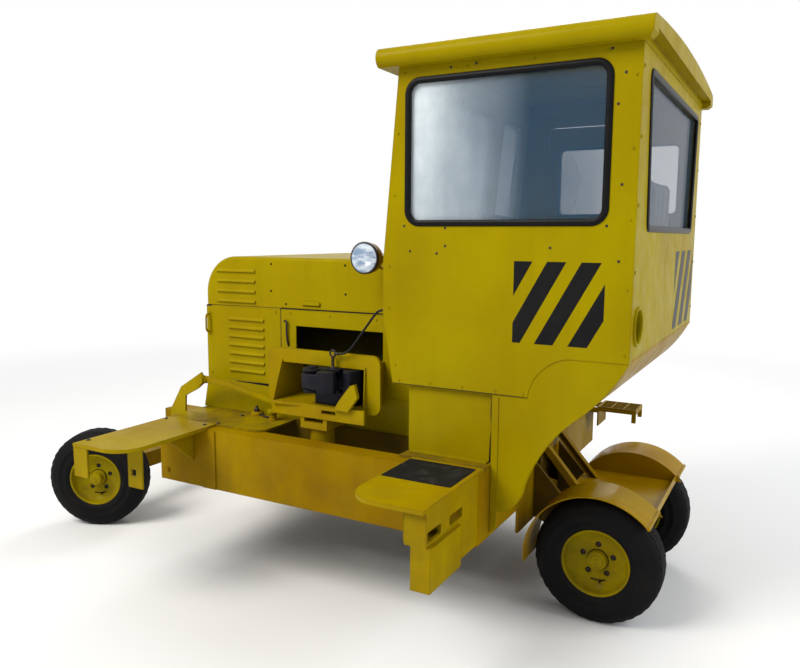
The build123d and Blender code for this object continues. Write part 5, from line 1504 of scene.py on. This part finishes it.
@dataclass
class Studio:
    """Floor, lamps, world and camera."""

    eye: Triple = (2.071671, -3.360, 1.600)
    yaw: float = 28.706
    pitch: float = 7.515
    roll: float = 0.354
    focal_px: float = 740.15
    frame_px: float = 800.0
    sensor: float = 36.0
    floor_reach: float = 60.0

    def camera(self) -> None:
        """Place the camera where the photograph was taken from."""
        data = bpy.data.cameras.new("camera")
        data.sensor_width = self.sensor
        data.sensor_fit = "HORIZONTAL"
        data.lens = self.focal_px / self.frame_px * self.sensor
        data.clip_end = 200.0
        made = linked("camera", data)
        yaw, pitch, roll = (math.radians(v) for v in (self.yaw, self.pitch, self.roll))
        ahead = Vector((-math.sin(yaw) * math.cos(pitch), math.cos(yaw) * math.cos(pitch), -math.sin(pitch)))
        right = Vector((math.cos(yaw), math.sin(yaw), 0.0))
        up = right.cross(ahead)
        side = right * math.cos(roll) + up * math.sin(roll)
        top = up * math.cos(roll) - right * math.sin(roll)
        turn = Matrix((side, top, -ahead)).transposed()
        made.matrix_world = Matrix.Translation(self.eye) @ turn.to_4x4()
        bpy.context.scene.camera = made

    def floor(self) -> None:
        """Lay a plain pale floor that fades into the white surround."""
        s = Shader("floor_plain")
        pale = s.finished({"Base Color": (0.80, 0.795, 0.78), "Roughness": 0.9, "Specular IOR Level": 0.0})
        reach = s.node("ShaderNodeVectorMath", {0: s.place}, operation="LENGTH").outputs["Value"]
        share = s.times(s.remap(reach, 2.6, 8.0), backdrop_rays(s.tree))
        white = s.node("ShaderNodeEmission").outputs[0]
        blend = s.node("ShaderNodeMixShader", {0: share, 1: s.surface.outputs[0], 2: white})
        s.feed(s.output.inputs["Surface"], blend.outputs[0])
        r = self.floor_reach
        solid("floor", [(-r, -r, 0), (r, -r, 0), (r, r, 0), (-r, r, 0)], [(0, 1, 2, 3)], pale)

    def lamp(self, name: str, spot: Triple, aim: Triple, watts: float, colour: RGB,
             size: float = 4.0) -> None:
        """Hang one soft area lamp.

        Args:
            name: Object name.
            spot: Where it hangs.
            aim: What it faces.
            watts: Its power.
            colour: Its colour.
            size: Length of its square side.
        """
        data = bpy.data.lights.new(name, "AREA")
        data.size = size
        data.energy = watts
        data.color = colour
        made = linked(name, data)
        made.location = spot
        made.rotation_euler = (Vector(aim) - Vector(spot)).to_track_quat("-Z", "Y").to_euler()

    def world(self) -> None:
        """Light evenly from all round, and show plain white behind the vehicle."""
        made = bpy.data.worlds.new("surround")
        made.use_nodes = True
        tree = made.node_tree
        back = tree.nodes["Background"]
        back.inputs["Color"].default_value = (0.90, 0.94, 1.0, 1.0)
        back.inputs["Strength"].default_value = 0.55
        white = tree.nodes.new("ShaderNodeBackground")
        white.inputs["Color"].default_value = (1.0, 1.0, 1.0, 1.0)
        blend = tree.nodes.new("ShaderNodeMixShader")
        for i, source in enumerate((backdrop_rays(tree), back.outputs[0], white.outputs[0])):
            tree.links.new(source, blend.inputs[i])
        tree.links.new(blend.outputs[0], tree.nodes["World Output"].inputs["Surface"])
        bpy.context.scene.world = made

    def build(self) -> None:
        """Set up the whole studio."""
        self.camera()
        self.floor()
        self.world()
        self.lamp("key", (-2.5, -5.5, 6.5), (0.2, 0.0, 1.0), 620.0, (1.0, 0.97, 0.92))
        self.lamp("side", (6.5, 0.5, 4.5), (0.5, 0.0, 1.0), 240.0, (0.95, 0.97, 1.0))
        self.lamp("back", (-1.0, 6.0, 5.0), (0.0, 0.0, 1.2), 260.0, (1.0, 0.98, 0.95))
        bpy.context.scene.view_settings.view_transform = "Standard"


class Dresser:
    """Gives every carried-over node its finish."""

    def __init__(self, finishes: Finishes) -> None:
        """Group the nodes by finish."""
        f = finishes
        groups = (
            (f.body, "hood_cover hood_side_panels hood_end_panel bay_frames hood_skirt headlamp"),
            (f.body, "cab_near_side cab_far_side cab_door cab_end_wall cab_front_wall cab_roof"),
            (f.body, "cab_lower_panels cab_arch_panel"),
            (f.step, "steps_near steps_far coupler_housings coupler_jacks lever_stand"),
            (f.wing, "fenders"),
            (f.deck, "deck_plates"),
            # The frame's darker, more orange paint is partly painted shade.
            (f.frame, "beam_near beam_far frame_ends fender_braces steering_axle far_step cab_floor"),
            # Parts under the vehicle take a dark brown that is painted shade, with grime.
            (f.under, "inner_rails cross_webs drive_axle axle_pivot"),
            (f.under, "knuckle_near knuckle_far rail_axle_boxes"),
            # Dirty olive darkened into painted shade of the bay and the cab inside.
            (f.bay, "engine_block seat_base control_stand"),
            (f.wheel, "rim_cab_near rim_cab_far rim_hood_near rim_hood_far"),
            (f.grease, "coupler_heads coupler_knuckle_near coupler_knuckle_far"),
            (f.rail_steel, "rail_axle_near rail_axle_far"),
            (f.pane, "cab_glass door_glass"),
            (f.black, "steering_wheel"))
        self.plan = {name: finish for finish, names in groups for name in names.split()}

    def dress(self, nodes: dict[str, Piece]) -> None:
        """Assign each node's material, in every slot."""
        for name, node in nodes.items():
            if name not in self.plan:
                log.info("node %s keeps no finish of its own", name)
                continue
            node.data.materials.clear()
            node.data.materials.append(self.plan[name])


def road_wheels(finishes: Finishes, studs: StudTree) -> list[Wheel]:
    """The four road wheels, the steered pair at its parked angle."""
    parked = Vector((-math.sin(PARKED_STEER), math.cos(PARKED_STEER), 0))
    made = []
    for side in Side:
        fixed_centre = at(1171, side.value * 350, AXLE_HIGH)
        made.append(Wheel(f"cab_{side.tag}", fixed_centre, side.normal, False, finishes, studs))
        outward = parked * side.value
        steered_centre = at(-1567, side.value * 566, AXLE_HIGH) + outward * KINGPIN_TO_WHEEL / 1000
        made.append(Wheel(f"hood_{side.tag}", steered_centre, outward, True, finishes, studs))
    return made


def main() -> None:
    """Load the frame, dress it and build every piece."""
    logging.basicConfig(level=logging.INFO, format="%(message)s")
    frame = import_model()
    finishes = Finishes()
    Studio().build()
    made = Cable(finishes).build()
    Dresser(finishes).dress(frame["nodes"])
    studs = StudTree()
    for part in (*road_wheels(finishes, studs), Windows(finishes), Lamp(finishes), Fasteners(finishes, studs),
                 HoodFittings(finishes), CabTrim(finishes), Deck(finishes), Coupler(Side.NEAR, finishes),
                 Coupler(Side.FAR, finishes), Seat(finishes), HandWheel(finishes)):
        made += part.build()
    for piece in made:
        log.info("%s: %d faces", piece.name, len(getattr(piece.data, "polygons", ())))


if __name__ == "__main__":
    main()
